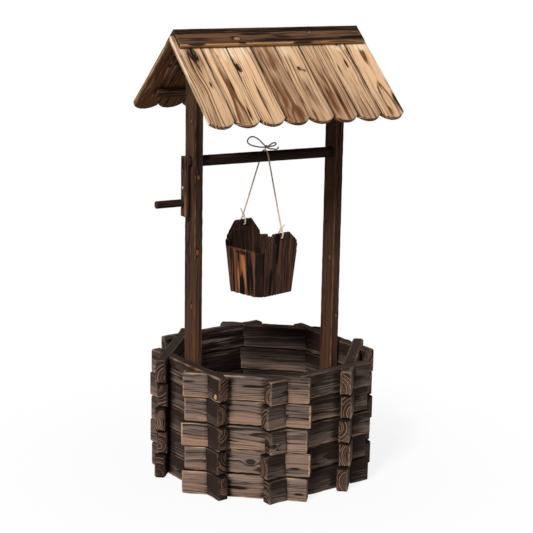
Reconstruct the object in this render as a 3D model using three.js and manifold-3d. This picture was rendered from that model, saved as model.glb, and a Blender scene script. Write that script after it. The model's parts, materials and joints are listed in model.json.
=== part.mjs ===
// Wishing well planter: an eight-sided planter wall of stacked and lapped boards, two posts,
// a plank roof, a hand crank with its roller, and a small stave bucket on a rope.
// Lengths in millimetres, +Z up. The roller lies along X with the crank at -X, and -Y is the front.
// The origin is on the ground, under the middle of the box round everything but the rope.
import * as THREE from 'three';
import { mergeVertices } from 'three/addons/utils/BufferGeometryUtils.js';
import Module from 'manifold-3d';

const wasm = await Module();
wasm.setup();

// Fits shared by all pieces
const gap = 0.3;
const overrun = 30;
const curveSteps = 10;
const knotSteps = 10;

// The wall: board courses stacked dry, halved into each other at the eight corners
const wall = {
  courses: 5,
  acrossFlats: 514,
  boardLength: 328,
  boardHeight: 65,
  boardThickness: 30,
  ease: 4,
  lapClearance: 0.5,
  inOutStep: 4,
  slideStep: 5,
  turnShare: 6.5 / 360,
};
const sideNames = [
  'right', 'back_right', 'back', 'back_left', 'left', 'front_left', 'front', 'front_right',
];
const wallSides = sideNames.length;
// How far each board sits in or out, as shares of inOutStep: one row a course, one number a side.
// More courses than rows start again at the first row.
// The boards that carry the posts, right and left, are all flush with each other.
const inOutShares = [
  [-1, 0.4, -0.6, 0.8, -1, 0.5, 0.9, -0.4],
  [-1, -0.5, 0.7, -0.3, -1, -0.4, -0.8, 0.6],
  [-1, 0.8, -0.2, 0.5, -1, 0.9, 0.7, -0.1],
  [-1, -0.2, 0.6, -0.7, -1, -0.2, -0.9, 0.7],
  [-1, 0.3, -0.4, 0.2, -1, 0.6, 0.5, 0.1],
];
// How far each board slides along its side, as shares of slideStep, in the same order
const slideShares = [
  [0.3, -0.6, 0.8, -0.2, -0.9, 0.5, -0.4, 0.9],
  [-0.8, 0.4, -0.3, 0.9, 0.6, -0.7, 0.8, -0.5],
  [0.7, 0.1, 0.5, -0.8, -0.3, 0.9, -0.9, 0.2],
  [-0.2, -0.9, -0.6, 0.4, 0.8, -0.5, 0.6, -0.8],
  [0.5, 0.7, 0.2, -0.5, -0.6, 0.3, -0.2, 0.6],
];

// The posts, pointed to fit under the roof
const post = {
  thickness: 23,
  depth: 58,
  pointHeight: 1146,
  ease: 2,
};

// The roof: two slopes of planks on battens, and two cap boards over the ridge
const roof = {
  slopeShare: 40.5 / 360,
  planks: 8,
  plankWidth: 70,
  plankThickness: 13,
  plankReach: 294,
  roundRise: 18,
  plankGap: 1.2,
  plankEase: 1.2,
  battenInset: 36,
  battenWidth: 28,
  battenThickness: 15,
  lowerBattenReach: 222,
  battenEase: 1.5,
  capLength: 540,
  capWidth: 57,
  capThickness: 12,
  capEase: 1.5,
};

// The crank and its roller
const crank = {
  axisHeight: 847,
  rollerDiameter: 28.5,
  rollerClearance: 0.5,
  boreDepth: 16,
  armStandOff: 10,
  armThickness: 10,
  armWidth: 25,
  armAboveAxis: 14,
  armBelowHandle: 36,
  armEase: 1.5,
  throw: 105,
  handleDiameter: 19.5,
  handleLength: 76,
  handleEase: 1.5,
  roundSides: 28,
};

// The bucket: four wide staves, four narrow corner staves and a floor board, wider at the top
const bucket = {
  sides: 8,
  bottomHeight: 487,
  offAxis: -8,
  turnShare: 15 / 360,
  ringHeight: 140,
  widthAtBottom: 135,
  widthAtRing: 160,
  depthAtBottom: 125,
  depthAtRing: 146,
  staveAtBottom: 101,
  staveAtRing: 120,
  lowStaveLess: 3.5,
  staveThickness: 9.5,
  tallBackHeight: 184,
  tallFrontHeight: 168,
  tallTopWidth: 58,
  shoulderBackHeight: 146,
  shoulderFrontHeight: 141,
  lowLeftHeight: 124,
  lowRightHeight: 130,
  frontCornerHeight: 121,
  leftCornerHeight: 140,
  rightCornerHeight: 113,
  backCornerHeight: 136,
  floorThickness: 11,
  floorRise: 7,
  floorClearance: 0.6,
  holeDiameter: 9,
  holeBelowTop: 15,
};

// The rope: hung over the roller, tied in a bow on top and to both tall staves
const rope = {
  diameter: 4,
  sides: 8,
  standOff: 0.5,
  offAxis: -3,
  wrapShift: 1,
  wrapSteps: 10,
  legSteps: 20,
  knotDiameter: 9.5,
  knotAboveStave: 4,
  tieSteps: 26,
  tieLift: 0.5,
  tieBulgeShare: 1.05,
  tieAtHoleShare: 0.8,
  bowKnotDiameter: 10,
  bowSteps: 22,
  tailSteps: 10,
};

const wallTurn = wall.turnShare * 2 * Math.PI;
const slope = roof.slopeShare * 2 * Math.PI;
const bucketTurn = bucket.turnShare * 2 * Math.PI;
const xAxis = new THREE.Vector3(1, 0, 0);
const yAxis = new THREE.Vector3(0, 1, 0);
const zAxis = new THREE.Vector3(0, 0, 1);

const darkWood = { color: 0x4a3324, roughness: 0.75, metalness: 0 };
const wallWood = { color: 0x6b5240, roughness: 0.8, metalness: 0 };
const roofWood = { color: 0xc39c70, roughness: 0.75, metalness: 0 };
const capWood = { color: 0x5f4430, roughness: 0.75, metalness: 0 };
const blackWood = { color: 0x33241b, roughness: 0.7, metalness: 0 };
const jute = { color: 0xc9b48c, roughness: 0.95, metalness: 0 };

// A closed three.js geometry as a solid that can be cut and joined
function solidOf(geometry) {
  const bare = geometry.clone();
  bare.deleteAttribute('normal');
  bare.deleteAttribute('uv');
  const merged = mergeVertices(bare);
  const mesh = new wasm.Mesh({
    numProp: 3,
    vertProperties: new Float32Array(merged.attributes.position.array),
    triVerts: new Uint32Array(merged.index.array),
  });
  mesh.merge();
  return new wasm.Manifold(mesh);
}

// The solid as a geometry again
function geometryOf(solid) {
  const mesh = solid.getMesh();
  const geometry = new THREE.BufferGeometry();
  geometry.setAttribute('position', new THREE.BufferAttribute(mesh.vertProperties, 3));
  geometry.setIndex(new THREE.BufferAttribute(mesh.triVerts, 1));
  geometry.computeVertexNormals();
  return geometry;
}

function cut(solid, tools) {
  return tools.reduce((left, tool) => left.subtract(tool), solid);
}

function joined(solids) {
  return solids.reduce((all, next) => all.add(next));
}

function meshOf(name, solid, finish) {
  const mesh = new THREE.Mesh(geometryOf(solid), new THREE.MeshStandardMaterial(finish));
  mesh.name = name;
  return mesh;
}

// A block between two corners
function block(low, high) {
  const size = new THREE.Vector3().subVectors(high, low);
  const geometry = new THREE.BoxGeometry(size.x, size.y, size.z);
  geometry.translate((low.x + high.x) / 2, (low.y + high.y) / 2, (low.z + high.z) / 2);
  return geometry;
}

// A flat outline as a board, centred on its thickness, both faces eased all round
function easedBoard(shape, thickness, ease) {
  const geometry = new THREE.ExtrudeGeometry(shape, {
    depth: thickness - 2 * ease,
    bevelEnabled: true,
    bevelThickness: ease,
    bevelSize: ease,
    bevelOffset: -ease,
    bevelSegments: 1,
    curveSegments: curveSteps,
  });
  geometry.translate(0, 0, ease - thickness / 2);
  return geometry;
}

function rectangle(left, bottom, right, top) {
  const shape = new THREE.Shape();
  shape.moveTo(left, bottom);
  shape.lineTo(right, bottom);
  shape.lineTo(right, top);
  shape.lineTo(left, top);
  shape.closePath();
  return shape;
}

// Turns an outline drawn in x and y so that it stands in X and Z, or in Y and Z
const standAlongX = new THREE.Matrix4().makeBasis(xAxis, zAxis, yAxis.clone().negate());
const standAlongY = new THREE.Matrix4().makeBasis(yAxis, zAxis, xAxis);

// A round bar along X between two places
function barAlongX(from, to, diameter, ease) {
  const half = diameter / 2;
  const length = to - from;
  const profile = [
    new THREE.Vector2(0, 0),
    new THREE.Vector2(half - ease, 0),
    new THREE.Vector2(half, ease),
    new THREE.Vector2(half, length - ease),
    new THREE.Vector2(half - ease, length),
    new THREE.Vector2(0, length),
  ];
  const geometry = new THREE.LatheGeometry(profile, crank.roundSides);
  geometry.rotateZ(-Math.PI / 2);
  geometry.translate(from, 0, 0);
  return geometry;
}

// A tube of rope along a smooth path
function tube(points, steps) {
  const section = new THREE.Shape();
  for (let i = 0; i < rope.sides; i += 1) {
    const angle = (i / rope.sides) * 2 * Math.PI;
    const x = (rope.diameter / 2) * Math.cos(angle);
    const y = (rope.diameter / 2) * Math.sin(angle);
    if (i === 0) section.moveTo(x, y);
    else section.lineTo(x, y);
  }
  section.closePath();
  return new THREE.ExtrudeGeometry(section, {
    steps,
    bevelEnabled: false,
    extrudePath: new THREE.CatmullRomCurve3(points, false, 'centripetal'),
  });
}

function knotBall(diameter) {
  return solidOf(new THREE.SphereGeometry(diameter / 2, knotSteps, knotSteps / 2));
}

// Wall. A board's own frame has X along its length, +Y outwards and Z up from its mid height.
function sideTurn(side) {
  return wallTurn + (side / wallSides) * 2 * Math.PI - Math.PI / 2;
}

function boardMatrix(course, side) {
  const place = (side + wallSides) % wallSides;
  const angle = sideTurn(place);
  const inOut = inOutShares[course % inOutShares.length][place] * wall.inOutStep;
  const radius = (wall.acrossFlats - wall.boardThickness) / 2 + inOut;
  const height = (course + 0.5) * wall.boardHeight + course * gap;
  return new THREE.Matrix4()
    .makeRotationZ(angle)
    .setPosition(-radius * Math.sin(angle), radius * Math.cos(angle), height);
}

// The room that a neighbour's half takes out of a board, in that board's own frame
function lapRoom(own, neighbour, lower) {
  const reach = wall.boardLength / 2 + overrun;
  const half = wall.boardThickness / 2 + wall.lapClearance;
  const tall = wall.boardHeight / 2 + overrun;
  const room = lower
    ? block(new THREE.Vector3(-reach, -half, -tall), new THREE.Vector3(reach, half, gap / 2))
    : block(new THREE.Vector3(-reach, -half, -gap / 2), new THREE.Vector3(reach, half, tall));
  room.applyMatrix4(own.clone().invert().multiply(neighbour));
  return solidOf(room);
}

function wallBoard(course, side) {
  const own = boardMatrix(course, side);
  const slide = slideShares[course % slideShares.length][side] * wall.slideStep;
  const left = slide - wall.boardLength / 2;
  const outline = rectangle(left, -wall.boardHeight / 2, left + wall.boardLength, wall.boardHeight / 2);
  const plain = easedBoard(outline, wall.boardThickness, wall.ease).applyMatrix4(standAlongX);
  const solid = cut(solidOf(plain), [
    lapRoom(own, boardMatrix(course, side + 1), true),
    lapRoom(own, boardMatrix(course, side - 1), false),
  ]);
  const board = meshOf(`wall_${sideNames[side]}_${course + 1}`, solid, wallWood);
  board.applyMatrix4(own);
  return board;
}

function makeWall() {
  const group = new THREE.Group();
  for (let course = 0; course < wall.courses; course += 1) {
    for (let side = 0; side < wallSides; side += 1) group.add(wallBoard(course, side));
  }
  return group;
}

// Posts. Each stands square to X against the flush boards of its side, which are turned a little,
// so its nearer edge bears on them.
const flushFace = wall.acrossFlats / 2 - wall.boardThickness - wall.inOutStep;
const postOuter =
  (flushFace - gap - (post.depth / 2) * Math.sin(wallTurn)) / Math.cos(wallTurn);
const postInner = postOuter - post.thickness;
const postMiddle = postOuter - post.thickness / 2;

function rollerBore(from, to) {
  const bore = barAlongX(from, to, crank.rollerDiameter + 2 * crank.rollerClearance, 0);
  bore.translate(0, 0, crank.axisHeight);
  return solidOf(bore);
}

function postSolid(side) {
  const half = post.depth / 2;
  const shoulder = post.pointHeight - half * Math.tan(slope);
  const outline = new THREE.Shape();
  outline.moveTo(-half, 0);
  outline.lineTo(half, 0);
  outline.lineTo(half, shoulder);
  outline.lineTo(0, post.pointHeight);
  outline.lineTo(-half, shoulder);
  outline.closePath();
  const plain = easedBoard(outline, post.thickness, post.ease).applyMatrix4(standAlongY);
  plain.translate(side * postMiddle, 0, 0);
  const bore =
    side < 0
      ? rollerBore(-postOuter - overrun, -postInner + overrun)
      : rollerBore(postInner - overrun, postInner + crank.boreDepth);
  return cut(solidOf(plain), [bore]);
}

// Roof. A slope's own frame has its origin where the undersides meet,
// X along the ridge, Y up the slope and Z out of it.
const underApex = post.pointHeight + gap / Math.cos(slope);

function plankOutline() {
  const half = (roof.plankWidth - roof.plankGap) / 2;
  const radius = (half ** 2 + roof.roundRise ** 2) / (2 * roof.roundRise);
  const centre = radius - roof.plankReach;
  const rise = Math.asin((radius - roof.roundRise) / radius);
  const outline = new THREE.Shape();
  outline.moveTo(half, overrun);
  outline.lineTo(-half, overrun);
  outline.lineTo(-half, roof.roundRise - roof.plankReach);
  outline.absarc(0, centre, radius, Math.PI + rise, 2 * Math.PI - rise, false);
  outline.closePath();
  return outline;
}

// What lies past the upright plane through the ridge, in a slope's own frame
function pastRidge() {
  const room = block(
    new THREE.Vector3(-roof.plankWidth * roof.planks, -gap / 2, -roof.plankReach),
    new THREE.Vector3(roof.plankWidth * roof.planks, roof.plankReach, roof.plankReach),
  );
  room.applyMatrix4(new THREE.Matrix4().makeRotationX(-slope));
  return solidOf(room);
}

// A batten by the place of its upper edge on the slope, a little shorter than the roof
function batten(top) {
  const half = (roof.planks * roof.plankWidth) / 2 - roof.battenInset;
  const outline = rectangle(-half, top - roof.battenWidth, half, top);
  return easedBoard(outline, roof.battenThickness, roof.battenEase);
}

// The upper batten lies just outside the posts, whose sides it is screwed to
const upperBattenTop =
  -(post.depth / 2 + gap + roof.battenThickness * Math.sin(slope)) / Math.cos(slope);

function slopeSolid() {
  const planks = [];
  for (let i = 0; i < roof.planks; i += 1) {
    const plank = easedBoard(plankOutline(), roof.plankThickness, roof.plankEase);
    const across = (i + 0.5 - roof.planks / 2) * roof.plankWidth;
    plank.translate(across, 0, roof.plankThickness / 2);
    planks.push(solidOf(plank));
  }
  // The upper batten is bedded into the planks by the shared gap, so that the slope is one piece
  const upper = batten(upperBattenTop);
  upper.translate(0, 0, gap - roof.battenThickness / 2);
  return cut(joined(planks), [pastRidge()]).add(solidOf(upper));
}

function lowerBatten() {
  const geometry = batten(roof.battenWidth - roof.lowerBattenReach);
  geometry.translate(0, 0, -gap - roof.battenThickness / 2);
  return solidOf(geometry);
}

function ridgeCap() {
  const level = roof.plankThickness + gap;
  const top = (level + roof.capThickness) * Math.tan(slope);
  const outline = rectangle(-roof.capLength / 2, top - roof.capWidth, roof.capLength / 2, top + overrun);
  const geometry = easedBoard(outline, roof.capThickness, roof.capEase);
  geometry.translate(0, 0, level + roof.capThickness / 2);
  return cut(solidOf(geometry), [pastRidge()]);
}

function makeSlope(name) {
  const tilted = new THREE.Group();
  tilted.rotation.x = slope;
  tilted.position.z = underApex;
  tilted.add(
    meshOf(`roof_${name}`, slopeSolid(), roofWood),
    meshOf(`roof_batten_${name}`, lowerBatten(), roofWood),
    meshOf(`ridge_cap_${name}`, ridgeCap(), capWood),
  );
  const group = new THREE.Group();
  group.add(tilted);
  return group;
}

// Crank
const armInner = postOuter + crank.armStandOff;
const armOuter = armInner + crank.armThickness;

function makeCrank() {
  const group = new THREE.Group();
  group.position.z = crank.axisHeight;
  const rollerEnd = postInner + crank.boreDepth - gap;
  const roller = barAlongX(gap - armInner, rollerEnd, crank.rollerDiameter, 0);
  const armOutline = rectangle(
    -crank.armWidth / 2, -crank.throw - crank.armBelowHandle, crank.armWidth / 2, crank.armAboveAxis,
  );
  const arm = easedBoard(armOutline, crank.armThickness, crank.armEase).applyMatrix4(standAlongY);
  arm.translate(-(armInner + armOuter) / 2, 0, 0);
  const handle = barAlongX(
    -armOuter - crank.handleLength, -armOuter - gap, crank.handleDiameter, crank.handleEase,
  );
  handle.translate(0, 0, -crank.throw);
  group.add(
    meshOf('roller', solidOf(roller), blackWood),
    meshOf('crank_arm', solidOf(arm), darkWood),
    meshOf('crank_handle', solidOf(handle), blackWood),
  );
  return group;
}

// Bucket. Its own frame stands on its floor's level, with the tall staves at -Y and +Y.
function bucketAt(height, bottom, ring) {
  return bottom + ((ring - bottom) * height) / bucket.ringHeight;
}

// The eight corners of the stave ring at a height, drawn in from its outside by a depth
function ringCorners(height, depth) {
  const across = bucketAt(height, bucket.widthAtBottom, bucket.widthAtRing) / 2 - depth;
  const along = bucketAt(height, bucket.depthAtBottom, bucket.depthAtRing) / 2 - depth;
  const stave = bucketAt(height, bucket.staveAtBottom, bucket.staveAtRing) / 2;
  const drawnIn = depth * Math.tan(Math.PI / bucket.sides);
  const flat = stave - drawnIn;
  const side = flat - bucket.lowStaveLess;
  return [
    [across, -side], [across, side], [flat, along], [-flat, along],
    [-across, side], [-across, -side], [-flat, -along], [flat, -along],
  ];
}

// A solid between the ring's corners at two heights
function ringLoft(from, to, depth) {
  const low = ringCorners(from, depth);
  const high = ringCorners(to, depth);
  const places = [...low.map(([x, y]) => [x, y, from]), ...high.map(([x, y]) => [x, y, to])];
  const faces = [];
  const count = low.length;
  for (let i = 0; i < count; i += 1) {
    const next = (i + 1) % count;
    faces.push(i, next, count + next, i, count + next, count + i);
  }
  for (let i = 1; i < count - 1; i += 1) {
    faces.push(0, i + 1, i);
    faces.push(count, count + i, count + i + 1);
  }
  const geometry = new THREE.BufferGeometry();
  geometry.setAttribute('position', new THREE.Float32BufferAttribute(places.flat(), 3));
  geometry.setIndex(faces);
  return solidOf(geometry);
}

const bucketTop = Math.max(bucket.tallBackHeight, bucket.tallFrontHeight);
const bucketReach = bucket.widthAtRing;

function staveRing() {
  const outer = ringLoft(0, bucketTop, 0);
  return outer.subtract(ringLoft(-overrun, bucketTop + overrun, bucket.staveThickness));
}

// The outline of a tall stave in X and Z, let out all round by a clearance
function tallOutline(top, shoulder, clearance) {
  const foot = bucket.staveAtBottom / 2 + clearance;
  const wide = bucketAt(shoulder, bucket.staveAtBottom, bucket.staveAtRing) / 2 + clearance;
  const narrow = bucket.tallTopWidth / 2 + clearance;
  const sole = clearance > 0 ? -overrun : 0;
  const crown = clearance > 0 ? top + overrun : top;
  const outline = new THREE.Shape();
  outline.moveTo(-foot, sole);
  outline.lineTo(foot, sole);
  outline.lineTo(wide, shoulder);
  outline.lineTo(clearance > 0 ? wide : narrow, crown);
  outline.lineTo(clearance > 0 ? -wide : -narrow, crown);
  outline.lineTo(-wide, shoulder);
  outline.closePath();
  return outline;
}

// That outline as a prism from the bucket's middle out past one tall side, at -Y or +Y
function tallPrism(side, top, shoulder, clearance) {
  const geometry = new THREE.ExtrudeGeometry(tallOutline(top, shoulder, clearance), {
    depth: bucketReach,
    bevelEnabled: false,
  });
  geometry.applyMatrix4(standAlongX);
  if (side > 0) geometry.translate(0, bucketReach, 0);
  return solidOf(geometry);
}

// How far the middle of a wide stave's thickness is from the bucket's middle, at a height
function staveMiddle(height) {
  return (bucketAt(height, bucket.depthAtBottom, bucket.depthAtRing) - bucket.staveThickness) / 2;
}

function tallStave(side, top, shoulder) {
  const hole = new THREE.CylinderGeometry(
    bucket.holeDiameter / 2, bucket.holeDiameter / 2, bucketReach, curveSteps,
  );
  hole.translate(0, (side * bucketReach) / 2, top - bucket.holeBelowTop);
  return cut(staveRing().intersect(tallPrism(side, top, shoulder, 0)), [solidOf(hole)]);
}

// A low stave with the corner staves at its two ends, side -1 at the left and +1 at the right
function lowStaves(side, lowHeight, frontHeight, backHeight) {
  const edge = bucket.staveAtRing / 2;
  const top = bucketTop + overrun;
  const inner = side < 0 ? -bucketReach : 0;
  const outer = side < 0 ? 0 : bucketReach;
  const otherSide = block(
    new THREE.Vector3(side < 0 ? 0 : -bucketReach, -bucketReach, -overrun),
    new THREE.Vector3(side < 0 ? bucketReach : 0, bucketReach, top),
  );
  const aboveLow = block(
    new THREE.Vector3(inner, -edge, lowHeight), new THREE.Vector3(outer, edge, top),
  );
  const aboveFront = block(
    new THREE.Vector3(inner, -bucketReach, frontHeight), new THREE.Vector3(outer, -edge, top),
  );
  const aboveBack = block(
    new THREE.Vector3(inner, edge, backHeight), new THREE.Vector3(outer, bucketReach, top),
  );
  return cut(staveRing(), [
    tallPrism(-1, bucketTop, bucket.shoulderFrontHeight, gap),
    tallPrism(1, bucketTop, bucket.shoulderBackHeight, gap),
    ...[otherSide, aboveLow, aboveFront, aboveBack].map(solidOf),
  ]);
}

function bucketFloor() {
  const depth = bucket.staveThickness + bucket.floorClearance;
  return ringLoft(bucket.floorRise, bucket.floorRise + bucket.floorThickness, depth);
}

const bucketFrame = new THREE.Matrix4()
  .makeRotationZ(bucketTurn)
  .setPosition(bucket.offAxis, 0, bucket.bottomHeight);

function makeBucket() {
  const group = new THREE.Group();
  group.applyMatrix4(bucketFrame);
  const front = tallStave(-1, bucket.tallFrontHeight, bucket.shoulderFrontHeight);
  const back = tallStave(1, bucket.tallBackHeight, bucket.shoulderBackHeight);
  const left = lowStaves(
    -1, bucket.lowLeftHeight, bucket.frontCornerHeight, bucket.leftCornerHeight,
  );
  const right = lowStaves(
    1, bucket.lowRightHeight, bucket.rightCornerHeight, bucket.backCornerHeight,
  );
  group.add(
    meshOf('bucket_tall_front', front, darkWood),
    meshOf('bucket_tall_back', back, darkWood),
    meshOf('bucket_low_left', left, darkWood),
    meshOf('bucket_low_right', right, darkWood),
    meshOf('bucket_floor', bucketFloor(), darkWood),
  );
  return group;
}

// Rope ties. Each goes through the hole of a tall stave and over its top, into a knot above.
function knotPlace(side, top) {
  const height = top + rope.knotAboveStave + rope.knotDiameter / 2;
  return new THREE.Vector3(0, side * staveMiddle(top), height);
}

function tieSolid(side, top) {
  const knot = knotPlace(side, top);
  // The stave hangs on the rope, so the rope lies against the top of the hole
  const slack = (bucket.holeDiameter - rope.diameter) / 2 - gap;
  const holeHeight = top - bucket.holeBelowTop + slack;
  const halfway = (holeHeight + top) / 2;
  const out = bucket.staveThickness / 2 + rope.diameter / 2 + rope.tieLift;
  const beside = (height, share) =>
    new THREE.Vector3(0, side * (staveMiddle(height) + out * share), height);
  const points = [
    knot.clone(),
    beside(top + rope.tieLift, 1),
    beside(halfway, rope.tieBulgeShare),
    beside(holeHeight, rope.tieAtHoleShare),
    beside(holeHeight, 0),
    beside(holeHeight, -rope.tieAtHoleShare),
    beside(halfway, -rope.tieBulgeShare),
    beside(top + rope.tieLift, -1),
    knot.clone(),
  ];
  const ball = knotBall(rope.knotDiameter).translate(knot.x, knot.y, knot.z);
  return ball.add(solidOf(tube(points, rope.tieSteps)));
}

function makeTies() {
  const group = new THREE.Group();
  group.applyMatrix4(bucketFrame);
  group.add(
    meshOf('rope_tie_front', tieSolid(-1, bucket.tallFrontHeight), jute),
    meshOf('rope_tie_back', tieSolid(1, bucket.tallBackHeight), jute),
  );
  return group;
}

// The hanging rope: up from the front tie, over the roller, and down to the back tie
const wrapRadius = crank.rollerDiameter / 2 + rope.standOff + rope.diameter / 2;

function legEnd(side, top) {
  const knot = knotPlace(side, top);
  knot.z += rope.knotDiameter / 2 + gap;
  return knot.applyMatrix4(bucketFrame);
}

// The angle above level at which a straight leg from a place below meets the roller's round
function meetAngle(place) {
  const across = Math.abs(place.y);
  const down = crank.axisHeight - place.z;
  const distance = Math.hypot(across, down);
  return Math.acos(wrapRadius / distance) - Math.atan2(down, across);
}

function hangingRope() {
  const front = legEnd(-1, bucket.tallFrontHeight);
  const back = legEnd(1, bucket.tallBackHeight);
  const frontAngle = meetAngle(front);
  const backAngle = meetAngle(back);
  const points = [];
  const wrapX = (share) => rope.offAxis + rope.wrapShift * (0.5 - share);
  const onRoller = (angle, share) =>
    new THREE.Vector3(
      wrapX(share),
      -wrapRadius * Math.cos(angle),
      crank.axisHeight + wrapRadius * Math.sin(angle),
    );
  const start = onRoller(frontAngle, 0);
  const end = onRoller(Math.PI - backAngle, 1);
  for (let i = 0; i < rope.legSteps; i += 1) {
    points.push(new THREE.Vector3().lerpVectors(front, start, i / rope.legSteps));
  }
  for (let i = 0; i <= rope.wrapSteps; i += 1) {
    const share = i / rope.wrapSteps;
    const angle = frontAngle + (Math.PI - backAngle - frontAngle) * share;
    points.push(onRoller(angle, share));
  }
  for (let i = 1; i <= rope.legSteps; i += 1) {
    points.push(new THREE.Vector3().lerpVectors(end, back, i / rope.legSteps));
  }
  return solidOf(tube(points, 2 * rope.legSteps + rope.wrapSteps));
}

// The bow on top of the roller: its knot, two loops and a curled tail. The two strands of a loop
// leave the knot side by side. Its points are places from the knot's middle, drawn by hand.
const bowLeftLoop = [
  [1, -2.15, 0], [-14, -2.6, 1.5], [-31, -2.4, 8], [-47, -1.5, 15.5], [-55, 0, 23],
  [-49, 1.5, 29], [-35, 2.4, 28], [-20, 2.6, 19], [-8, 2.5, 8], [1, 2.15, 0],
];
const bowRightLoop = [
  [-1, -2.15, 0], [8, -2.5, 4], [17, -2.4, 9], [26, -1.5, 10], [30, 0, 6],
  [25, 1.5, 2], [15, 2.4, 0.5], [7, 2.5, -0.5], [-1, 2.15, 0],
];
const bowTail = [
  [1, 0, -0.5], [9, -0.4, -4.5], [19, -1.5, -6], [28, -2, -7.5], [35, -1.5, -5.5], [36, -0.5, -1],
];

function bowSolid() {
  const lift = wrapRadius + rope.diameter / 2 + gap + rope.bowKnotDiameter / 2;
  const routes = [
    [bowLeftLoop, rope.bowSteps],
    [bowRightLoop, rope.bowSteps],
    [bowTail, rope.tailSteps],
  ];
  const strands = routes.map(([route, steps]) => {
    return solidOf(tube(route.map((place) => new THREE.Vector3(...place)), steps));
  });
  const bow = joined([knotBall(rope.bowKnotDiameter), ...strands]);
  return bow.translate(0, 0, crank.axisHeight + lift);
}

// The whole planter
const planter = new THREE.Group();
const leftPost = meshOf('left_post', postSolid(-1), darkWood);
const rightPost = meshOf('right_post', postSolid(1), darkWood);
const frontSlope = makeSlope('front');
const backSlope = makeSlope('back');
backSlope.rotation.z = Math.PI;
planter.add(makeWall(), leftPost, rightPost, frontSlope, backSlope, makeCrank(), makeBucket());

// The middle of the box round all that isn't rope goes over the origin
planter.updateMatrixWorld(true);
const middle = new THREE.Box3().setFromObject(planter, true).getCenter(new THREE.Vector3());
planter.add(makeTies());
planter.add(meshOf('rope', hangingRope(), jute), meshOf('rope_bow', bowSolid(), jute));
planter.position.set(-middle.x, -middle.y, 0);

export default planter;
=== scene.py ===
"""Looks of a wishing well planter: charred boards, posts, plank roof, crank, stave bucket and rope.

Lengths are in metres. +Z is up, X runs along the roller with the crank at -X, and -Y is the front.
Wooden pieces are outlines carried along their grain and worked out with numpy. Each has three
attributes that the wood materials read: grain, its place in the tree it was cut from; finish, its
tone, how worn it is there and how scorched, into which painted shade and painted highlights are
also laid; and knot, its place from the nearest knot and that knot's size.
"""

import json
import math

import bmesh
import bpy
import numpy as np
from bpy.props import FloatProperty, FloatVectorProperty, IntProperty, PointerProperty
from mathutils import Matrix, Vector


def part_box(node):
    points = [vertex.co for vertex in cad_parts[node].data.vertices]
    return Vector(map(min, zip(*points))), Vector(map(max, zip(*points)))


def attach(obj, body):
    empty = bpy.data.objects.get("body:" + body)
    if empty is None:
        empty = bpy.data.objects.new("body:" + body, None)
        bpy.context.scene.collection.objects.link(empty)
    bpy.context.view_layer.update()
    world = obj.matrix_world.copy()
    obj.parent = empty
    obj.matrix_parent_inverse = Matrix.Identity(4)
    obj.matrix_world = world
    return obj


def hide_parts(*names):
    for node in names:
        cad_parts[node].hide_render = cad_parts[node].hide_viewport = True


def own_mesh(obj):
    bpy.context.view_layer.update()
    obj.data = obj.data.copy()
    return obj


bl_info = {
    "name": "Wishing Well Planter",
    "version": (1, 0, 0),
    "blender": (4, 5, 0),
    "location": "3D View > Sidebar > Well",
    "description": "Builds the finished pieces of a wishing well planter round its packed frame",
    "category": "Add Mesh",
}

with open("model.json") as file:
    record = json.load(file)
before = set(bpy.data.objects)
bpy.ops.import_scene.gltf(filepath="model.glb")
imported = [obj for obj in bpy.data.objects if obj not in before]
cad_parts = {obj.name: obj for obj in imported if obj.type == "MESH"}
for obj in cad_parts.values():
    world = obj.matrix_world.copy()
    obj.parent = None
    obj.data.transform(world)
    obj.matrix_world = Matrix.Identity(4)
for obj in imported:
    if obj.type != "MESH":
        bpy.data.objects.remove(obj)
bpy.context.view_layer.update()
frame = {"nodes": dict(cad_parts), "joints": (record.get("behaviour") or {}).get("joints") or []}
joint_limits = {joint["name"]: joint for joint in frame["joints"]}

UP = np.array([0.0, 0.0, 1.0])

# Width of a year ring and depth of the brushed relief, by finish
RINGS = {
    "wall_board": (0.0044, 0.0005),
    "post": (0.0042, 0.0003),
    "roof_plank": (0.0062, 0.0003),
    "ridge_cap": (0.0048, 0.0003),
    "crank_wood": (0.004, 0.0),
    "bucket_stave": (0.0038, 0.0008),
}
# Length over which a board's rounding and its worn edges waver
WEAR_LENGTH, WORN_LENGTH = 0.06, 0.08
# Where in a ring the hard late wood stands up
RIDGE_SHARE = 0.82
# Longer than any board: a mark of this half length runs all along it
ALL_ALONG = 9.0
# The least room between two pieces, and the least rounding of an edge
HAIR = 0.0003
# Room between pieces side by side, between a rope and what it lies on, and over a tie's knot
ROOM, ROPE_ROOM, KNOT_ROOM = 0.0006, 0.0005, 0.0008
# The slight rounding of the roller's ends and of the cap boards where they meet
SLIGHT = 0.0006
# Edges sharper than this many degrees stay sharp, on wood and on other slots
SHARP_WOOD = 38
SHARP = {"rope": 75, "crank_wood": 50, "screw": 30}


# Reading the frame


def corners_of(node):
    """All corners of a CAD node's mesh, one row each."""
    vertices = frame["nodes"][node].data.vertices
    corners = np.empty(3 * len(vertices))
    vertices.foreach_get("co", corners)
    return corners.reshape(-1, 3)


def span(node, direction):
    """Lowest and highest place that a CAD node reaches along a direction."""
    reach = corners_of(node) @ np.asarray(direction)
    return reach.min(), reach.max()


def middle_of(*nodes):
    """Middle of the box round some CAD nodes."""
    corners = np.concatenate([corners_of(node) for node in nodes])
    return (corners.min(axis=0) + corners.max(axis=0)) / 2


WELL_MIDDLE = middle_of("left_post", "right_post") * (1, 1, 0)
AXIS = middle_of("roller") * (0, 1, 1) + WELL_MIDDLE * (1, 0, 0)


# Sizes and colours that a user would change


def length(name, default, description):
    return FloatProperty(name=name, default=default, unit="LENGTH", precision=4, description=description)


def share(name, default, description):
    return FloatProperty(name=name, default=default, min=0, max=1, subtype="FACTOR", description=description)


def turn(name, degrees, description):
    return FloatProperty(name=name, default=math.radians(degrees), subtype="ANGLE", description=description)


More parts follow.
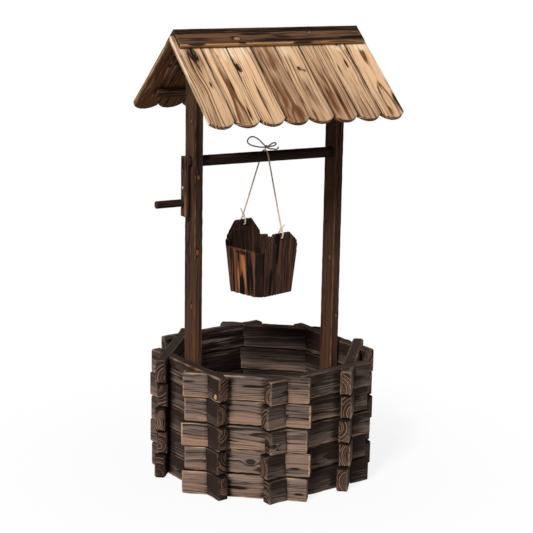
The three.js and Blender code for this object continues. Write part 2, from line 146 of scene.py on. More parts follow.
def colour(name, default, description):
    return FloatVectorProperty(
        name=name, default=default, size=3, min=0, max=1, subtype="COLOR", description=description
    )


class WellWall(bpy.types.PropertyGroup):
    courses: IntProperty(name="Courses", default=5, min=1, description="Boards on top of each other")
    turn: turn("Turn", 6.5, "How far the wall is turned from the line of the posts")
    edge_radius: length("Edge radius", 0.0052, "Rounding of the boards' worn edges")
    lap_clearance: length("Lap clearance", 0.0005, "Room beside a board in its neighbour's lap")
    course_gap: length("Course gap", 0.0003, "Room between the halves of a lap")
    end_inset: length("End inset", 0.0008, "How much the worn boards are shorter at each end")


class WellRoof(bpy.types.PropertyGroup):
    slope: turn("Slope", 40.5, "Angle of the roof's slopes")
    planks: IntProperty(name="Planks", default=8, min=1, description="Planks on each slope")
    plank_width: length("Plank width", 0.07, "From plank to plank")
    plank_gap: length("Plank gap", 0.0012, "Room between planks")
    plank_thickness: length("Plank thickness", 0.013, "Thickness of the planks")
    round_rise: length("Rounding", 0.018, "How far a plank's rounded end rises at its corners")
    edge_radius: length("Edge radius", 0.0018, "Rounding of planks, battens and caps")
    batten_width: length("Batten width", 0.028, "Width of the battens")
    batten_thickness: length("Batten thickness", 0.015, "Thickness of the battens")
    cap_thickness: length("Cap thickness", 0.012, "Thickness of the ridge caps")
    cap_gap: length("Cap gap", 0.0006, "Room between the two ridge caps")


class WellPosts(bpy.types.PropertyGroup):
    edge_radius: length("Edge radius", 0.0026, "Rounding of the posts' worn edges")
    bore_clearance: length("Bore clearance", 0.0005, "Room round the roller in the left post")
    rod_ease: length("Rod ease", 0.0018, "Rounding of the handle's end")
    arm_radius: length("Arm edge radius", 0.0018, "Rounding of the crank arm's edges")
    screw_drop: length("Screw drop", 0.066, "How far the screw sits under the roller's axis")
    screw_diameter: length("Screw head", 0.0075, "Width of a screw head")


class WellBucket(bpy.types.PropertyGroup):
    turn: turn("Turn", 15, "How far the bucket is turned from the roller")
    ring_height: length("Ring height", 0.14, "Height at which the upper sizes are measured")
    width_low: length("Width below", 0.135, "Width across the low staves at the bottom")
    width_high: length("Width above", 0.16, "Width across the low staves at the ring height")
    depth_low: length("Depth below", 0.125, "Depth across the tall staves at the bottom")
    depth_high: length("Depth above", 0.146, "Depth across the tall staves at the ring height")
    stave_low: length("Stave below", 0.101, "Width of a tall stave at the bottom")
    stave_high: length("Stave above", 0.12, "Width of a tall stave at the ring height")
    low_stave_less: length("Low stave less", 0.0035, "How much a low stave's half is narrower")
    stave_thickness: length("Stave thickness", 0.0095, "Thickness of the staves")
    top_width: length("Top width", 0.058, "Width of a tall stave's top edge")
    shoulder_back: length("Back shoulder", 0.146, "Height of the tall back stave's shoulders")
    shoulder_front: length("Front shoulder", 0.141, "Height of the tall front stave's shoulders")
    shoulder_drop: length("Shoulder drop", 0.014, "How much lower its crank side's shoulder is")
    low_left: length("Low left", 0.124, "Height of the low left stave")
    low_right: length("Low right", 0.13, "Height of the low right stave")
    front_corner: length("Front corner", 0.121, "Height of the front corner stave")
    left_corner: length("Left corner", 0.14, "Height of the left corner stave")
    right_corner: length("Right corner", 0.113, "Height of the right corner stave")
    back_corner: length("Back corner", 0.136, "Height of the back corner stave")
    joint: length("Joint", 0.0007, "Room between two staves")
    edge_radius: length("Edge radius", 0.0014, "Rounding of the staves' edges")
    floor_rise: length("Floor rise", 0.007, "Height of the floor board's underside")
    floor_thickness: length("Floor thickness", 0.011, "Thickness of the floor board")
    hole_diameter: length("Hole", 0.009, "Width of the rope holes")
    hole_drop: length("Hole drop", 0.015, "From a tall stave's top to its rope hole")


class WellRope(bpy.types.PropertyGroup):
    diameter: length("Diameter", 0.004, "Thickness of the rope")
    lay: length("Lay", 0.011, "Length in which the strands turn once round the rope")
    stand_off: length("Stand-off", 0.0005, "Room between the rope and the roller")
    off_axis: length("Off the middle", -0.003, "Where the rope crosses the roller")
    wrap_shift: length("Wrap shift", 0.001, "How far the rope moves along the roller over it")
    knot_diameter: length("Knot", 0.0095, "Size of a tie's knot")
    knot_rise: length("Knot rise", 0.004, "Room between a tall stave's top and its knot")
    bow_knot: length("Bow knot", 0.01, "Size of the bow's knot")
    bow_darkening: share("Darkened bow", 0.8, "How much darker the bow is than the rope below it")


class WellColours(bpy.types.PropertyGroup):
    wall_light: colour("Wall, light", (0.5, 0.29, 0.188), "Light wood of the wall")
    wall_dark: colour("Wall, dark", (0.032, 0.02, 0.0155), "Dark grain of the wall")
    # On the front left boards' edges and ends this colour also paints highlights
    wall_bare: colour("Wall, bare", (0.66, 0.42, 0.26), "Worn edges of the wall's boards")
    post_light: colour("Posts, light", (0.175, 0.074, 0.034), "Light wood of the posts")
    post_dark: colour("Posts, dark", (0.022, 0.0108, 0.0068), "Dark grain of the posts")
    roof_light: colour("Roof, light", (0.98, 0.635, 0.365), "Light wood of the roof")
    roof_dark: colour("Roof, dark", (0.18, 0.074, 0.03), "Dark grain of the roof")
    # Near the ridge this colour also paints the lamp's highlight
    roof_bare: colour("Roof, bare", (0.97, 0.77, 0.54), "Bare wood near the ridge and on the gable edge")
    cap_light: colour("Caps, light", (0.24, 0.113, 0.05), "Light wood of the ridge caps")
    cap_dark: colour("Caps, dark", (0.03, 0.015, 0.0095), "Dark grain of the ridge caps")
    # Along the caps' lower edges this colour also paints a highlight
    cap_bare: colour("Caps, bare", (0.52, 0.29, 0.135), "Worn edges of the ridge caps")
    rod_light: colour("Rods, light", (0.034, 0.017, 0.011), "Light wood of the roller and handle")
    rod_dark: colour("Rods, dark", (0.008, 0.0048, 0.0038), "Dark grain of the roller and handle")
    bucket_light: colour("Bucket, light", (0.37, 0.13, 0.045), "Light wood of the bucket")
    bucket_dark: colour("Bucket, dark", (0.023, 0.0125, 0.0098), "Dark grain of the bucket")
    char: colour("Char", (0.0085, 0.0062, 0.006), "Wood that the flame has blackened")
    jute: colour("Jute", (0.86, 0.68, 0.45), "The rope's fibres")
    steel: colour("Steel", (0.6, 0.57, 0.5), "The screws")


class WellStage(bpy.types.PropertyGroup):
    azimuth: turn("Azimuth", -29.78, "Where the camera stands round the well")
    elevation: turn("Elevation", 12.96, "How far the camera is above the horizon")
    roll: turn("Roll", 0.99, "How far the camera is tipped sideways")
    distance: length("Distance", 3.9212, "From the camera to the point that it looks at")
    aim_height: length("Aim height", 0.5519, "Height of that point")
    aim_aside: length("Aim aside", 0.0066, "How far that point is right of the middle")
    lens: FloatProperty(name="Lens", default=99.91, subtype="DISTANCE_CAMERA", description="Focal length")
    sky: FloatProperty(name="Sky", default=0.22, min=0, description="Strength of the light from all round")
    key: FloatProperty(name="Key lamp", default=2.9, min=0, description="Strength of the main lamp")
    fill: FloatProperty(name="Fill lamp", default=0.2, min=0, description="Strength of the side lamp")


# Materials


class Value:
    """A node's output in a sum. Each operator adds the Math node for it."""

    def __init__(self, paint, socket):
        self.paint = paint
        self.socket = socket

    def __add__(self, other):
        return self.paint.math("ADD", self, other)

    def __sub__(self, other):
        return self.paint.math("SUBTRACT", self, other)

    def __rsub__(self, other):
        return self.paint.math("SUBTRACT", other, self)

    def __mul__(self, other):
        return self.paint.math("MULTIPLY", self, other)

    def __truediv__(self, other):
        return self.paint.math("DIVIDE", self, other)

    def __pow__(self, other):
        return self.paint.math("POWER", self, other)


class Paint:
    """The node tree of a material or world. Most methods add a node and give back its output."""

    def __init__(self, owner):
        self.owner = owner
        owner.use_nodes = True
        self.tree = owner.node_tree
        self.tree.nodes.clear()

    def node(self, kind, settings=None, inputs=None):
        """A node with its settings made first, and then its sockets, by identifier or name."""
        node = self.tree.nodes.new(kind)
        for key, setting in (settings or {}).items():
            setattr(node, key, setting)
        for key, value in (inputs or {}).items():
            sockets = [s for s in node.inputs if key in (s.identifier, s.name)]
            socket = next((s for s in sockets if s.identifier == key), sockets[0])
            if isinstance(value, Value):
                self.tree.links.new(value.socket, socket)
            else:
                socket.default_value = value
        return node

    def out(self, node, name=None):
        if name is None:
            return Value(self, next(s for s in node.outputs if s.enabled))
        return Value(self, next(s for s in node.outputs if name in (s.identifier, s.name)))

    def math(self, operation, *values, clamp=False):
        names = ("Value", "Value_001", "Value_002")
        settings = {"operation": operation, "use_clamp": clamp}
        return self.out(self.node("ShaderNodeMath", settings, dict(zip(names, values))))

    def clamp(self, value):
        return self.math("ADD", value, 0.0, clamp=True)

    def step(self, value, start, end):
        """0 below start, 1 above end and smooth between them."""
        inputs = {"Value": value, "From Min": start, "From Max": end}
        return self.out(self.node("ShaderNodeMapRange", {"interpolation_type": "SMOOTHSTEP"}, inputs))

    def attribute(self, name):
        return self.out(self.node("ShaderNodeAttribute", {"attribute_name": name}), "Vector")

    def parts(self, vector):
        node = self.node("ShaderNodeSeparateXYZ", inputs={"Vector": vector})
        return [self.out(node, axis) for axis in "XYZ"]

    def stretch(self, vector, factors):
        inputs = {"Vector": vector, "Vector_001": factors}
        return self.out(self.node("ShaderNodeVectorMath", {"operation": "MULTIPLY"}, inputs))

    def noise(self, vector, detail, roughness=0.5):
        inputs = {"Vector": vector, "Scale": 1.0, "Detail": detail, "Roughness": roughness}
        return self.out(self.node("ShaderNodeTexNoise", inputs=inputs), "Fac")

    def mix(self, factor, first, second):
        """A colour between two colours."""
        colours = [c if isinstance(c, Value) else (*c[:3], 1.0) for c in (first, second)]
        inputs = {"Factor_Float": factor, "A_Color": colours[0], "B_Color": colours[1]}
        return self.out(self.node("ShaderNodeMix", {"data_type": "RGBA"}, inputs), "Result_Color")

    def finish(self, colour, roughness, height=None, relief=0.0, **fixed):
        """The surface shader, with a bump of that relief in metres."""
        inputs = {"Base Color": colour, "Roughness": roughness}
        inputs.update({key.replace("_", " "): value for key, value in fixed.items()})
        if height is not None:
            bump = {"Height": height, "Distance": relief, "Strength": 1.0}
            inputs["Normal"] = self.out(self.node("ShaderNodeBump", inputs=bump))
        shader = self.node("ShaderNodeBsdfPrincipled", inputs=inputs)
        self.node("ShaderNodeOutputMaterial", inputs={"Surface": self.out(shader)})
        return self.owner


def new_paint(name):
    return Paint(bpy.data.materials.new(name))


# The wood's noises: how fast each changes per metre along and across the grain, its gain, detail
# and roughness
WOOD_NOISES = (
    ((16.0, 520.0, 520.0), 3.2, 3.0, 0.65),  # fibre
    ((5.0, 110.0, 110.0), 3.0, 2.0, 0.5),  # ripple
    ((1.4, 95.0, 95.0), 3.4, 2.0, 0.5),  # streak
    ((4.5, 85.0, 85.0), 3.6, 4.0, 0.6),  # flame
    ((4.0, 19.0, 19.0), 3.6, 3.0, 0.55),  # cloud
)


def scorched_wood(
    name, slot, light, dark, bare, char, line, cloudy, flames, pale, bands=0.3, ash=0.4, rough=0.78,
    heart=(1.9, 1.6, 1.2),
):
    """Softwood that was scorched and brushed.

    Year rings are the distance from the tree's middle over the ring width, wavering by noise that
    is stretched along the grain. Their late wood is a sawtooth to the fifth power. Where noise
    stretched further is near 0 it draws thin lines. Scorching adds slower noise, stretched into
    flames, to the heat that the piece carries; over a threshold the wood is char. Where the worn
    value is below 0 the wood is cut across, and its late wood is light on dark. Knots have a core,
    a dark rim and their own rings; a pale knot's core is the light wood times heart.

    line, bands, cloudy and flames are the strengths of the late wood, of the flames' tone, of the
    clouds and of the char; pale is how bare a worn edge gets and ash how grey the dark wood is.
    """
    paint = new_paint(name)
    ring_width, relief = RINGS[slot]
    grain = paint.attribute("grain")
    along, across, through = paint.parts(grain)
    tone, worn, heat = paint.parts(paint.attribute("finish"))
    knot_along, knot_aside, knot_size = paint.parts(paint.attribute("knot"))

    def swing(stretch, gain, detail, roughness):
        """Noise about 0, stretched along the grain."""
        return (paint.noise(paint.stretch(grain, stretch), detail, roughness) - 0.5) * gain

    fibre, ripple, streak, flame, cloud = [swing(*noise) for noise in WOOD_NOISES]

    # The rings and their late wood, and how dark the wood is there
    rings = paint.math("SQRT", across * across + through * through) / ring_width
    ring = paint.math("FRACT", rings + ripple * 0.1)
    own = paint.node("ShaderNodeCombineXYZ", inputs={"X": along * 3.0, "Y": rings * 0.8, "Z": 0.0})
    strength = paint.clamp((paint.noise(paint.out(own), detail=1.0) - 0.5) * 4.5 + 0.5)
    late = ring ** 5.0 * paint.clamp((1.0 - ring) * 8.0) * 2.2 * strength
    vein = paint.step(paint.math("ABSOLUTE", streak + fibre * 0.05), 0.13, 0.02)
    scorch = heat + (flame * 1.1 + ripple * 0.5) * paint.clamp(heat) * paint.clamp(1.7 - heat)
    swings = late * line + vein * 0.3 + streak * 0.2 + cloud * cloudy + flame * bands + fibre * 0.3
    amount = paint.clamp(tone + swings * (1.25 - tone * 0.85) + scorch * 0.8)
    amount = paint.math("MAXIMUM", amount, tone * 0.78)
    wood = paint.mix(amount, light, dark)
    # Where it is scorched the wood turns grey
    grey = sum(light) / 3
    ashen = paint.clamp(cloud * 0.4 + ripple * 0.2 + tone * 1.4 + scorch * 0.3 - 0.1)
    wood = paint.mix(ashen * ash, wood, paint.mix(amount, (grey,) * 3, dark))

    # Worn edges, char, and wood that is cut across
    bared = paint.clamp(worn * paint.step(flame + ripple * 0.6, -0.5, 0.5) * pale)
    wood = paint.mix(bared, wood, bare or tuple(min(1.0, c * 1.4 + 0.02) for c in light))
    burnt = paint.step(scorch + flame * flames + cloud * cloudy + late * 0.12, 0.5, 1.0)
    wood = paint.mix(burnt * 0.92, wood, char)
    cut = paint.clamp(worn * -1.6 - 0.3)
    end_light = paint.clamp(late * 1.7 + fibre * 0.3 - tone * 0.3 - scorch * 0.4 + 0.2)
    wood = paint.mix(cut, wood, paint.mix(end_light, dark, light))

    # Knots; reach is 1 at a knot's own rim
    size = paint.math("ABSOLUTE", knot_size)
    is_pale = paint.math("LESS_THAN", knot_size, 0.0)
    stretched = knot_along * 0.6
    reach = paint.math("SQRT", stretched * stretched + knot_aside * knot_aside) / size + ripple * 0.12
    core = paint.step(reach, 1.0, 0.82)
    rim = paint.step(reach, 1.5, 1.05) * (1.0 - core * is_pale * 0.85)
    own_rings = paint.math("FRACT", reach * 4.0 + fibre * 0.2)
    amber = tuple(min(1.0, c * more) for c, more in zip(light, heart))
    amber = paint.mix(own_rings * 0.6, amber, dark)
    wood = paint.mix(core * is_pale, wood, amber)
    wood = paint.mix(rim * 0.8, wood, char)

    height = late * 0.5 + fibre * 0.35 - rim * 0.6 - burnt * 0.25
    roughness = paint.clamp(fibre * 0.1 - core * 0.12 + rough)
    return paint.finish(wood, roughness, height, relief * 2.2, Specular_IOR_Level=0.04)


# Each wood: its material's name, the colours that it takes, and its look. Where there is no bare
# colour for it, worn wood is its light colour made lighter.
WOODS = {
    "wall_board": ("Scorched wall boards", "wall", {
        "line": 0.65, "cloudy": 0.2, "flames": 0.12, "bands": 0.18, "pale": 1.4, "ash": 0.6,
        "heart": (1.9, 2.0, 1.4),
    }),
    "post": ("Scorched posts", "post", {
        "line": 0.6, "cloudy": 0.25, "flames": 0.2, "bands": 0.2, "pale": 0.8,
    }),
    "roof_plank": ("Lightly scorched planks", "roof", {
        "line": 1.0, "cloudy": 0.36, "flames": 0.3, "bands": 0.26, "pale": 1.0, "ash": 0.16, "rough": 0.7,
        "heart": (0.62, 0.5, 0.42),
    }),
    "ridge_cap": ("Scorched ridge caps", "cap", {
        "line": 0.9, "cloudy": 0.34, "flames": 0.5, "pale": 1.0, "ash": 0.25, "heart": (2.2, 2.6, 3.2),
    }),
    "crank_wood": ("Blackened rods", "rod", {
        "line": 0.6, "cloudy": 0.4, "flames": 0.5, "pale": 0.6, "rough": 0.6,
    }),
    "bucket_stave": ("Scorched staves", "bucket", {
        "line": 1.3, "cloudy": 0.25, "flames": 0.45, "bands": 0.25, "pale": 0.6, "ash": 0.5,
    }),
}


def make_materials(colours):
    """Every finish of the well, by the name of its slot in the record."""

    def own(key):
        return tuple(getattr(colours, key, ()))

    made = {}
    for slot, (name, wood, look) in WOODS.items():
        tones = (own(f"{wood}_{tone}") for tone in ("light", "dark", "bare"))
        made[slot] = scorched_wood(name, slot, *tones, own("char"), **look)
    made["rope"] = jute_rope("Twisted jute", own("jute"))
    made["screw"] = screw_steel("Plated steel", own("steel"))
    return made


def jute_rope(name, colour):
    """Jute: fine fibres that follow the strands, with painted shade in the grooves between them."""
    paint = new_paint(name)
    strand = paint.attribute("grain")
    groove, _, _ = paint.parts(paint.attribute("finish"))
    fibre = paint.noise(paint.stretch(strand, (260.0, 3.0, 3.0)), detail=3.0, roughness=0.6)
    blotch = paint.noise(paint.stretch(strand, (60.0, 1.0, 1.0)), detail=2.0)
    # The groove value paints shade into the grooves between strands; on the bow it is raised, which makes the
    # bow darker
    shade = paint.clamp(groove * 0.5 + (fibre - 0.5) * 0.7 + (blotch - 0.5) * 0.4)
    fibres = paint.mix(shade, colour, tuple(c * 0.3 for c in colour))
    return paint.finish(fibres, 0.95, fibre, 0.0003, Specular_IOR_Level=0.2)


def screw_steel(name, colour):
    """Plated steel, a little dull and uneven."""
    paint = new_paint(name)
    place = paint.out(paint.node("ShaderNodeTexCoord"), "Object")
    haze = paint.noise(paint.stretch(place, (400.0, 400.0, 400.0)), detail=3.0)
    tint = paint.mix(haze * 0.6, colour, tuple(c * 0.5 for c in colour))
    return paint.finish(tint, haze * 0.3 + 0.25, Metallic=1.0)


materials = {}


# Shapes


def wobble(place, seed, wavelength):
    """A smooth wavering, about -1 to 1: a mean of sines with random phases near one wavelength."""
    rng = np.random.default_rng(seed)
    waves = rng.uniform(0.55, 1.9, 6) / wavelength
    phases = rng.uniform(0, 2 * math.pi, 6)
    return np.sin(2 * math.pi * np.multiply.outer(place, waves) + phases).mean(axis=-1) * 1.7


def closed_mesh(name, points, faces):
    """A mesh whose faces all look outwards."""
    mesh = bpy.data.meshes.new(name)
    mesh.from_pydata(points.tolist(), [], faces)
    shape = bmesh.new()
    shape.from_mesh(mesh)
    bmesh.ops.recalc_face_normals(shape, faces=shape.faces)
    shape.to_mesh(mesh)
    shape.free()
    return mesh


def smooth(mesh, sharp):
    """Smooth shading, apart from edges sharper than that many degrees."""
    mesh.shade_smooth()
    mesh.set_sharp_from_angle(angle=math.radians(sharp))


def in_scene(name, data):
    thing = bpy.data.objects.new(name, data)
    bpy.context.scene.collection.objects.link(thing)
    return thing


def closed_piece(name, points, faces, slot, body, nodes=(), marks=None):
    """A closed mesh as a piece on a body, with its slot, its attributes and the nodes it replaces."""
    mesh = closed_mesh(name, points, faces)
    for key, vectors in (marks or {}).items():
        mesh.attributes.new(key, "FLOAT_VECTOR", "POINT").data.foreach_set("vector", vectors.ravel())
    smooth(mesh, SHARP.get(slot, SHARP_WOOD))
    mesh.materials.append(materials[slot])
    piece = in_scene(name, mesh)
    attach(piece, body)
    if nodes:
        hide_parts(*nodes)
    return piece


def circle(sides):
    """Angles evenly round a circle."""
    return np.linspace(0, 2 * math.pi, sides, endpoint=False)


def tube_faces(rings, around):
    """Quads between rings of a grid, each ring joined to the next, row by row."""
    row = np.arange(rings - 1)[:, None] * around
    here = np.arange(around)[None, :]
    following = (here + 1) % around
    quads = np.stack([row + here, row + following, row + around + following, row + around + here], axis=-1)
    return quads.reshape(-1, 4).tolist()


def capped_tube(rings, around):
    """A tube's quads, and one face over each of its ends."""
    last = (rings - 1) * around
    return tube_faces(rings, around) + [list(range(around)), list(range(last, last + around))]


def strip_faces(first, around):
    """Closes a ring that is the same above and below its middle: strips from one side to the other."""
    half = around // 2
    faces = [[first, first + 1, first + around - 1]]
    for i in range(1, half - 1):
        faces.append([first + i, first + i + 1, first + around - i - 1, first + around - i])
    return faces + [[first + half - 1, first + half, first + half + 1]]


def rounded_ring(face_steps, edge_steps=2, corner_steps=4):
    """One round of a rounded rectangle, from the middle of its high edge over its outer face.

    Rows are: share of the width, share of the thickness, and the rounding's own direction in each.
    """
    bend = np.linspace(0, math.pi / 2, corner_steps + 1)
    edge = np.linspace(0, 1, edge_steps + 1)[:-1]
    face = np.linspace(1, -1, face_steps + 1)[1:-1]

    def part(*columns):
        return np.column_stack(np.broadcast_arrays(*columns))

    upper = np.concatenate([
        part(1, edge, 1, 0),
        part(1, 1, np.cos(bend), np.sin(bend)),
        part(face, 1, 0, 1),
        part(-1, 1, -np.sin(bend), np.cos(bend)),
        part(-1, edge[::-1], -1, 0),
    ])
    lower = upper[1:-1][::-1] * (1, -1, 1, -1)
    return np.concatenate([upper, lower]).T


def stations(keys, steps):
    """Rows between key rows, evenly spaced: steps says how many to each next key."""
    keys = np.asarray(keys, float)
    rows = [
        keys[i] + (keys[i + 1] - keys[i]) * np.linspace(0, 1, count, endpoint=False)[:, None]
        for i, count in enumerate(steps)
    ]
    return np.concatenate([*rows, keys[-1:]])


def tree_places(local, seed, pith, lean, burl, knots):
    """Where each point of a board lay in its tree: along it, and two distances from its middle.

    The middle is at pith in the board's section and runs askew to it. Slow sines make it waver, and
    near a knot a bell curve pushes the rings aside.
    """
    along, across, out = np.moveaxis(local, -1, 0)
    rng = np.random.default_rng(seed)
    if pith is None:
        pith = (rng.uniform(-0.02, 0.02), rng.choice([-1, 1]) * rng.uniform(0.012, 0.04))
    skew = lean * rng.uniform(0.4, 1.0) * rng.choice([-1, 1])
    drift = 0.003 * wobble(along, seed + 5, 0.4)
    swirl = 0.0007 * burl * wobble(along + 0.9 * across, seed + 6, 0.14 / burl)
    swell = 0.0014 * burl * wobble(along - 0.6 * across, seed + 7, 0.25 / burl)
    aside = across - pith[0] + 0.3 * skew * along + drift + swirl
    through = out - pith[1] + skew * along + swell
    for knot_along, knot_aside, size, on_edge, _ in knots:
        sideways = (out if on_edge else across) - knot_aside
        bell = np.exp(-(((along - knot_along) / (3 * size)) ** 2) - (sideways / (1.8 * size)) ** 2)
        through = through + np.where(through > 0, 1, -1) * 1.3 * size * bell
    return np.stack([along + rng.uniform(0, 40), aside, through], axis=-1)


def knot_places(local, knots):
    """Each point's place from the knot that it is nearest to, along and aside, and that knot's size.

    A pale knot's size is negative. A knot further away than 50 of its sizes doesn't count.
    """
    along, across, out = np.moveaxis(local, -1, 0)
    away = np.full(local.shape, (1.0, 1.0, 0.005))
    nearest = np.full(along.shape, 50.0)
    for knot_along, knot_aside, size, on_edge, pale in knots:
        sideways = (out if on_edge else across) - knot_aside
        reach = np.hypot(0.6 * (along - knot_along), sideways) / size
        closer = reach < nearest
        nearest = np.where(closer, reach, nearest)
        signed = np.full(along.shape, -size if pale else size)
        here = np.stack([along - knot_along, sideways, signed], axis=-1)
        away = np.where(closer[..., None], here, away)
    return away


def patches(local, places):
    """Soft ellipses on a board's outer face: along, across, half length, half width, strength.

    A patch's strength is full near its middle and falls with the square of the way to its rim.
    """
    along, across, out = np.moveaxis(local, -1, 0)
    total = np.zeros(along.shape)
    for place, aside, reach, width, strength in places:
        far = ((along - place) / reach) ** 2 + ((across - aside) / width) ** 2
        total = total + strength * np.clip(1.4 - 0.8 * far, 0, 1) * (out > 0)
    return total


def carried(rows, ring, seed, wear, arc):
    """A rounded outline carried along its grain, as a grid of places (along, across, out).

    rows: place, slant, curve, low, high, half thickness, low radius, high radius, how much of an
    end's rounding the row is, and 1 where the wood is cut across. Each point is at the row's place,
    moved by slant times its depth and by curve times the arc at its width. The radii waver a little.
    """
    place, slant, curve, low, high, half, low_radius, high_radius = rows.T[:8, :, None]
    across_share, out_share, across_round, out_round = ring[:, None, :]
    up = (across_share + 1) / 2
    uneven = 1 + wear * wobble(place[:, 0], seed, WEAR_LENGTH)[:, None] * np.where(across_share > 0, 1, -1)
    radius = (low_radius + up * (high_radius - low_radius)) * uneven
    inner_low = low + low_radius * uneven
    inner_high = high - high_radius * uneven
    across = inner_low + up * (inner_high - inner_low) + across_round * radius
    out = out_share * (half - radius) + out_round * radius
    along = place + slant * out
    if arc is not None:
        along = along + curve * arc(across)
    return np.stack([along, across, out], axis=-1)


def timber(
    name, place, rows, slot, body, seed, nodes, ring, tone, heat=0.0, inside=None, arc=None, wear=0.3,
    pith=None, lean=0.03, burl=1.0, knots=(), burns=(), bare=(), rise=0.0, fall=0.0, inside_tone=0.0,
    seam_char_and_shade=(0, 0), seam_starts=(0.8, 0.45), sides_bare=(0, 0), side_wear_and_highlight=(1, 1), end_wear_and_highlight=0.45,
    end_shade=0.0,
):
    """A board: rows of a rounded outline, brushed, closed at both ends and put in its place.

    Brushing sinks the surface by the relief times a cosine of the ring number, so the late wood
    stands up. lean and burl say how askew and how wavy its rings are. tone is how dark the board is
    and heat how scorched; inside is the heat of its inner face, which inside_tone makes darker, and on
    the wall and the roof these two also paint shade on the inner faces. rise adds to the tone towards
    its high edge and fall towards its first end; on the wall boards rise is partly painted shade over
    their rounding, and fall paints shade at the posts' tops and the left wall's near ends. Pairs are
    for its low and its high edge: seams scorch them, as char and as painted shade in the gaps between
    pieces, and sides_bare bares them, on the caps as a painted highlight, from seam_starts on, the
    sine of the rounding's slope. side_wear_and_highlight and end_wear_and_highlight say how worn its corners
    and ends are, and on the front left wall boards also how bright a highlight is painted there; end_shade
    scorches its ends as painted shade.
    """
    local = carried(rows, ring, seed, wear, arc)
    grain = tree_places(local, seed, pith, lean, burl, knots)
    away = knot_places(local, knots)
    ring_width, relief = RINGS[slot]
    rings = np.hypot(grain[..., 1], grain[..., 2]) / ring_width
    sunk = relief * (0.5 - 0.5 * np.cos(2 * math.pi * (rings - RIDGE_SHARE)))
    inner = ring[1] < 0

    def by_side(pair):
        return np.where(ring[0] > 0, pair[1], pair[0])

    edge = np.clip((np.abs(ring[2]) - by_side(seam_starts)) * 4, 0, 1)
    width = np.maximum(rows[:, 4] - rows[:, 3], 0.001)[:, None]
    share_across = (local[..., 1] - rows[:, 3:4]) / width - 0.5
    share_along = (local[..., 0] - local[..., 0].min()) / np.ptp(local[..., 0])
    # Painted shade goes into the tone here too, through inside_tone, rise and fall
    dark = tone + rise * share_across + inside_tone * inner + fall * (0.5 - share_along)

    # Part of this wear is a painted highlight: on the front left wall boards, the caps' lower edges and the
    # planks near the ridge
    uneven = np.clip(0.75 + 0.6 * wobble(rows[:, 0], seed + 2, WORN_LENGTH), 0, 1.4)[:, None]
    at_corner = np.abs(2 * ring[2] * ring[3]) * by_side(side_wear_and_highlight)
    worn = np.maximum(at_corner, end_wear_and_highlight * rows[:, 8:9]) * uneven
    worn = np.where(rows[:, 9:] > 0, -1.0, worn + patches(local, bare) + edge * by_side(sides_bare))

    # Part of this heat is painted shade: in the gaps between pieces, beside the wall's laps and on the
    # planks' ends
    scorched = np.where(inner, heat if inside is None else inside, heat) + patches(local, burns)
    scorched = scorched + (edge * by_side(seam_char_and_shade) + end_shade * rows[:, 8:].max(axis=1)[:, None])
    finish = np.stack([dark, worn, scorched], axis=-1)

    local[..., 1] -= sunk * ring[2]
    local[..., 2] -= sunk * ring[3]
    count, around, _ = local.shape
    faces = tube_faces(count, around) + strip_faces(0, around) + strip_faces((count - 1) * around, around)
    marks = marks_of(grain, finish, away)
    return closed_piece(name, place(local.reshape(-1, 3)), faces, slot, body, nodes, marks)


def marks_of(grain, finish, knot):
    """The three attributes that the wood materials read, one row for each point."""
    marks = {"grain": grain, "finish": finish, "knot": knot}
    return {key: value.reshape(-1, 3) for key, value in marks.items()}


def random_knots(rng, count, along, across, sizes=(0.003, 0.0065)):
    """Knots scattered over a board's face: place, aside, size, on the narrow face, pale."""
    pale_share = 0.35
    return [
        (
            rng.uniform(*along), rng.uniform(-across, across), rng.uniform(*sizes), False,
            rng.random() < pale_share,
        )
        for _ in range(count)
    ]


def random_burns(rng, count, along, across, strength=0.8):
    """Flame marks scattered over a board's face, long and narrow."""
    return [
        (
            rng.uniform(*along), rng.uniform(-across, across), rng.uniform(0.012, 0.05),
            rng.uniform(0.002, 0.007), rng.uniform(0.4, 1.0) * strength,
        )
        for _ in range(count)
    ]


def sample_marks(local, seed, tone, worn, heat):
    """The attributes of a turned or flat piece that has no brushed relief."""
    grain = tree_places(local, seed, (0.004, -0.012), 0.02, 1.0, ())
    finish = np.stack(np.broadcast_arrays(tone, worn, heat, local[..., 0])[:3], axis=-1)
    return marks_of(grain, finish, knot_places(local, ()))


def eased_ends(keys, steps, radius, last=True):
    """Rows with their ends rounded: a quarter circle draws the outline in as it nears the end."""
    rows = stations(keys, steps)
    rows = np.column_stack([rows, np.zeros((len(rows), 2))])
    bend = np.linspace(math.pi / 2, 0, 4, endpoint=False)
    drawn = radius * (1 - np.cos(bend))

    def end(row, sign):
        out = np.tile(row, (len(bend), 1))
        out[:, 0] += sign * radius * np.sin(bend)
        out[:, 3] += drawn
        out[:, 4] -= drawn
        out[:, 5] -= drawn
        out[:, 6:8] = np.maximum(out[:, 6:8] - drawn[:, None], HAIR)
        out[:, 8] = np.sin(2 * bend) * 0.9
        out[0, 9] = 1
        return out

    parts = [end(rows[0], -1), rows]
    if last:
        parts.append(end(rows[-1], 1)[::-1])
    return np.concatenate(parts)


def even(half_width, half, radius):
    """The sizes in a key row of a board that is the same on both sides of its middle."""
    return [-half_width, half_width, half, radius, radius]


def straight(start, end, sizes, steps):
    """Rows of a straight board, rounded at both ends."""
    radius = sizes[3]
    return eased_ends([[start + radius, 0, 0, *sizes], [end - radius, 0, 0, *sizes]], [steps], radius)


def in_place(origin, along, across, out):
    """A function that puts places (along, across, out) into the row frame."""
    axes = np.array([along, across, out])
    return lambda local: np.asarray(origin) + local @ axes


# Pieces


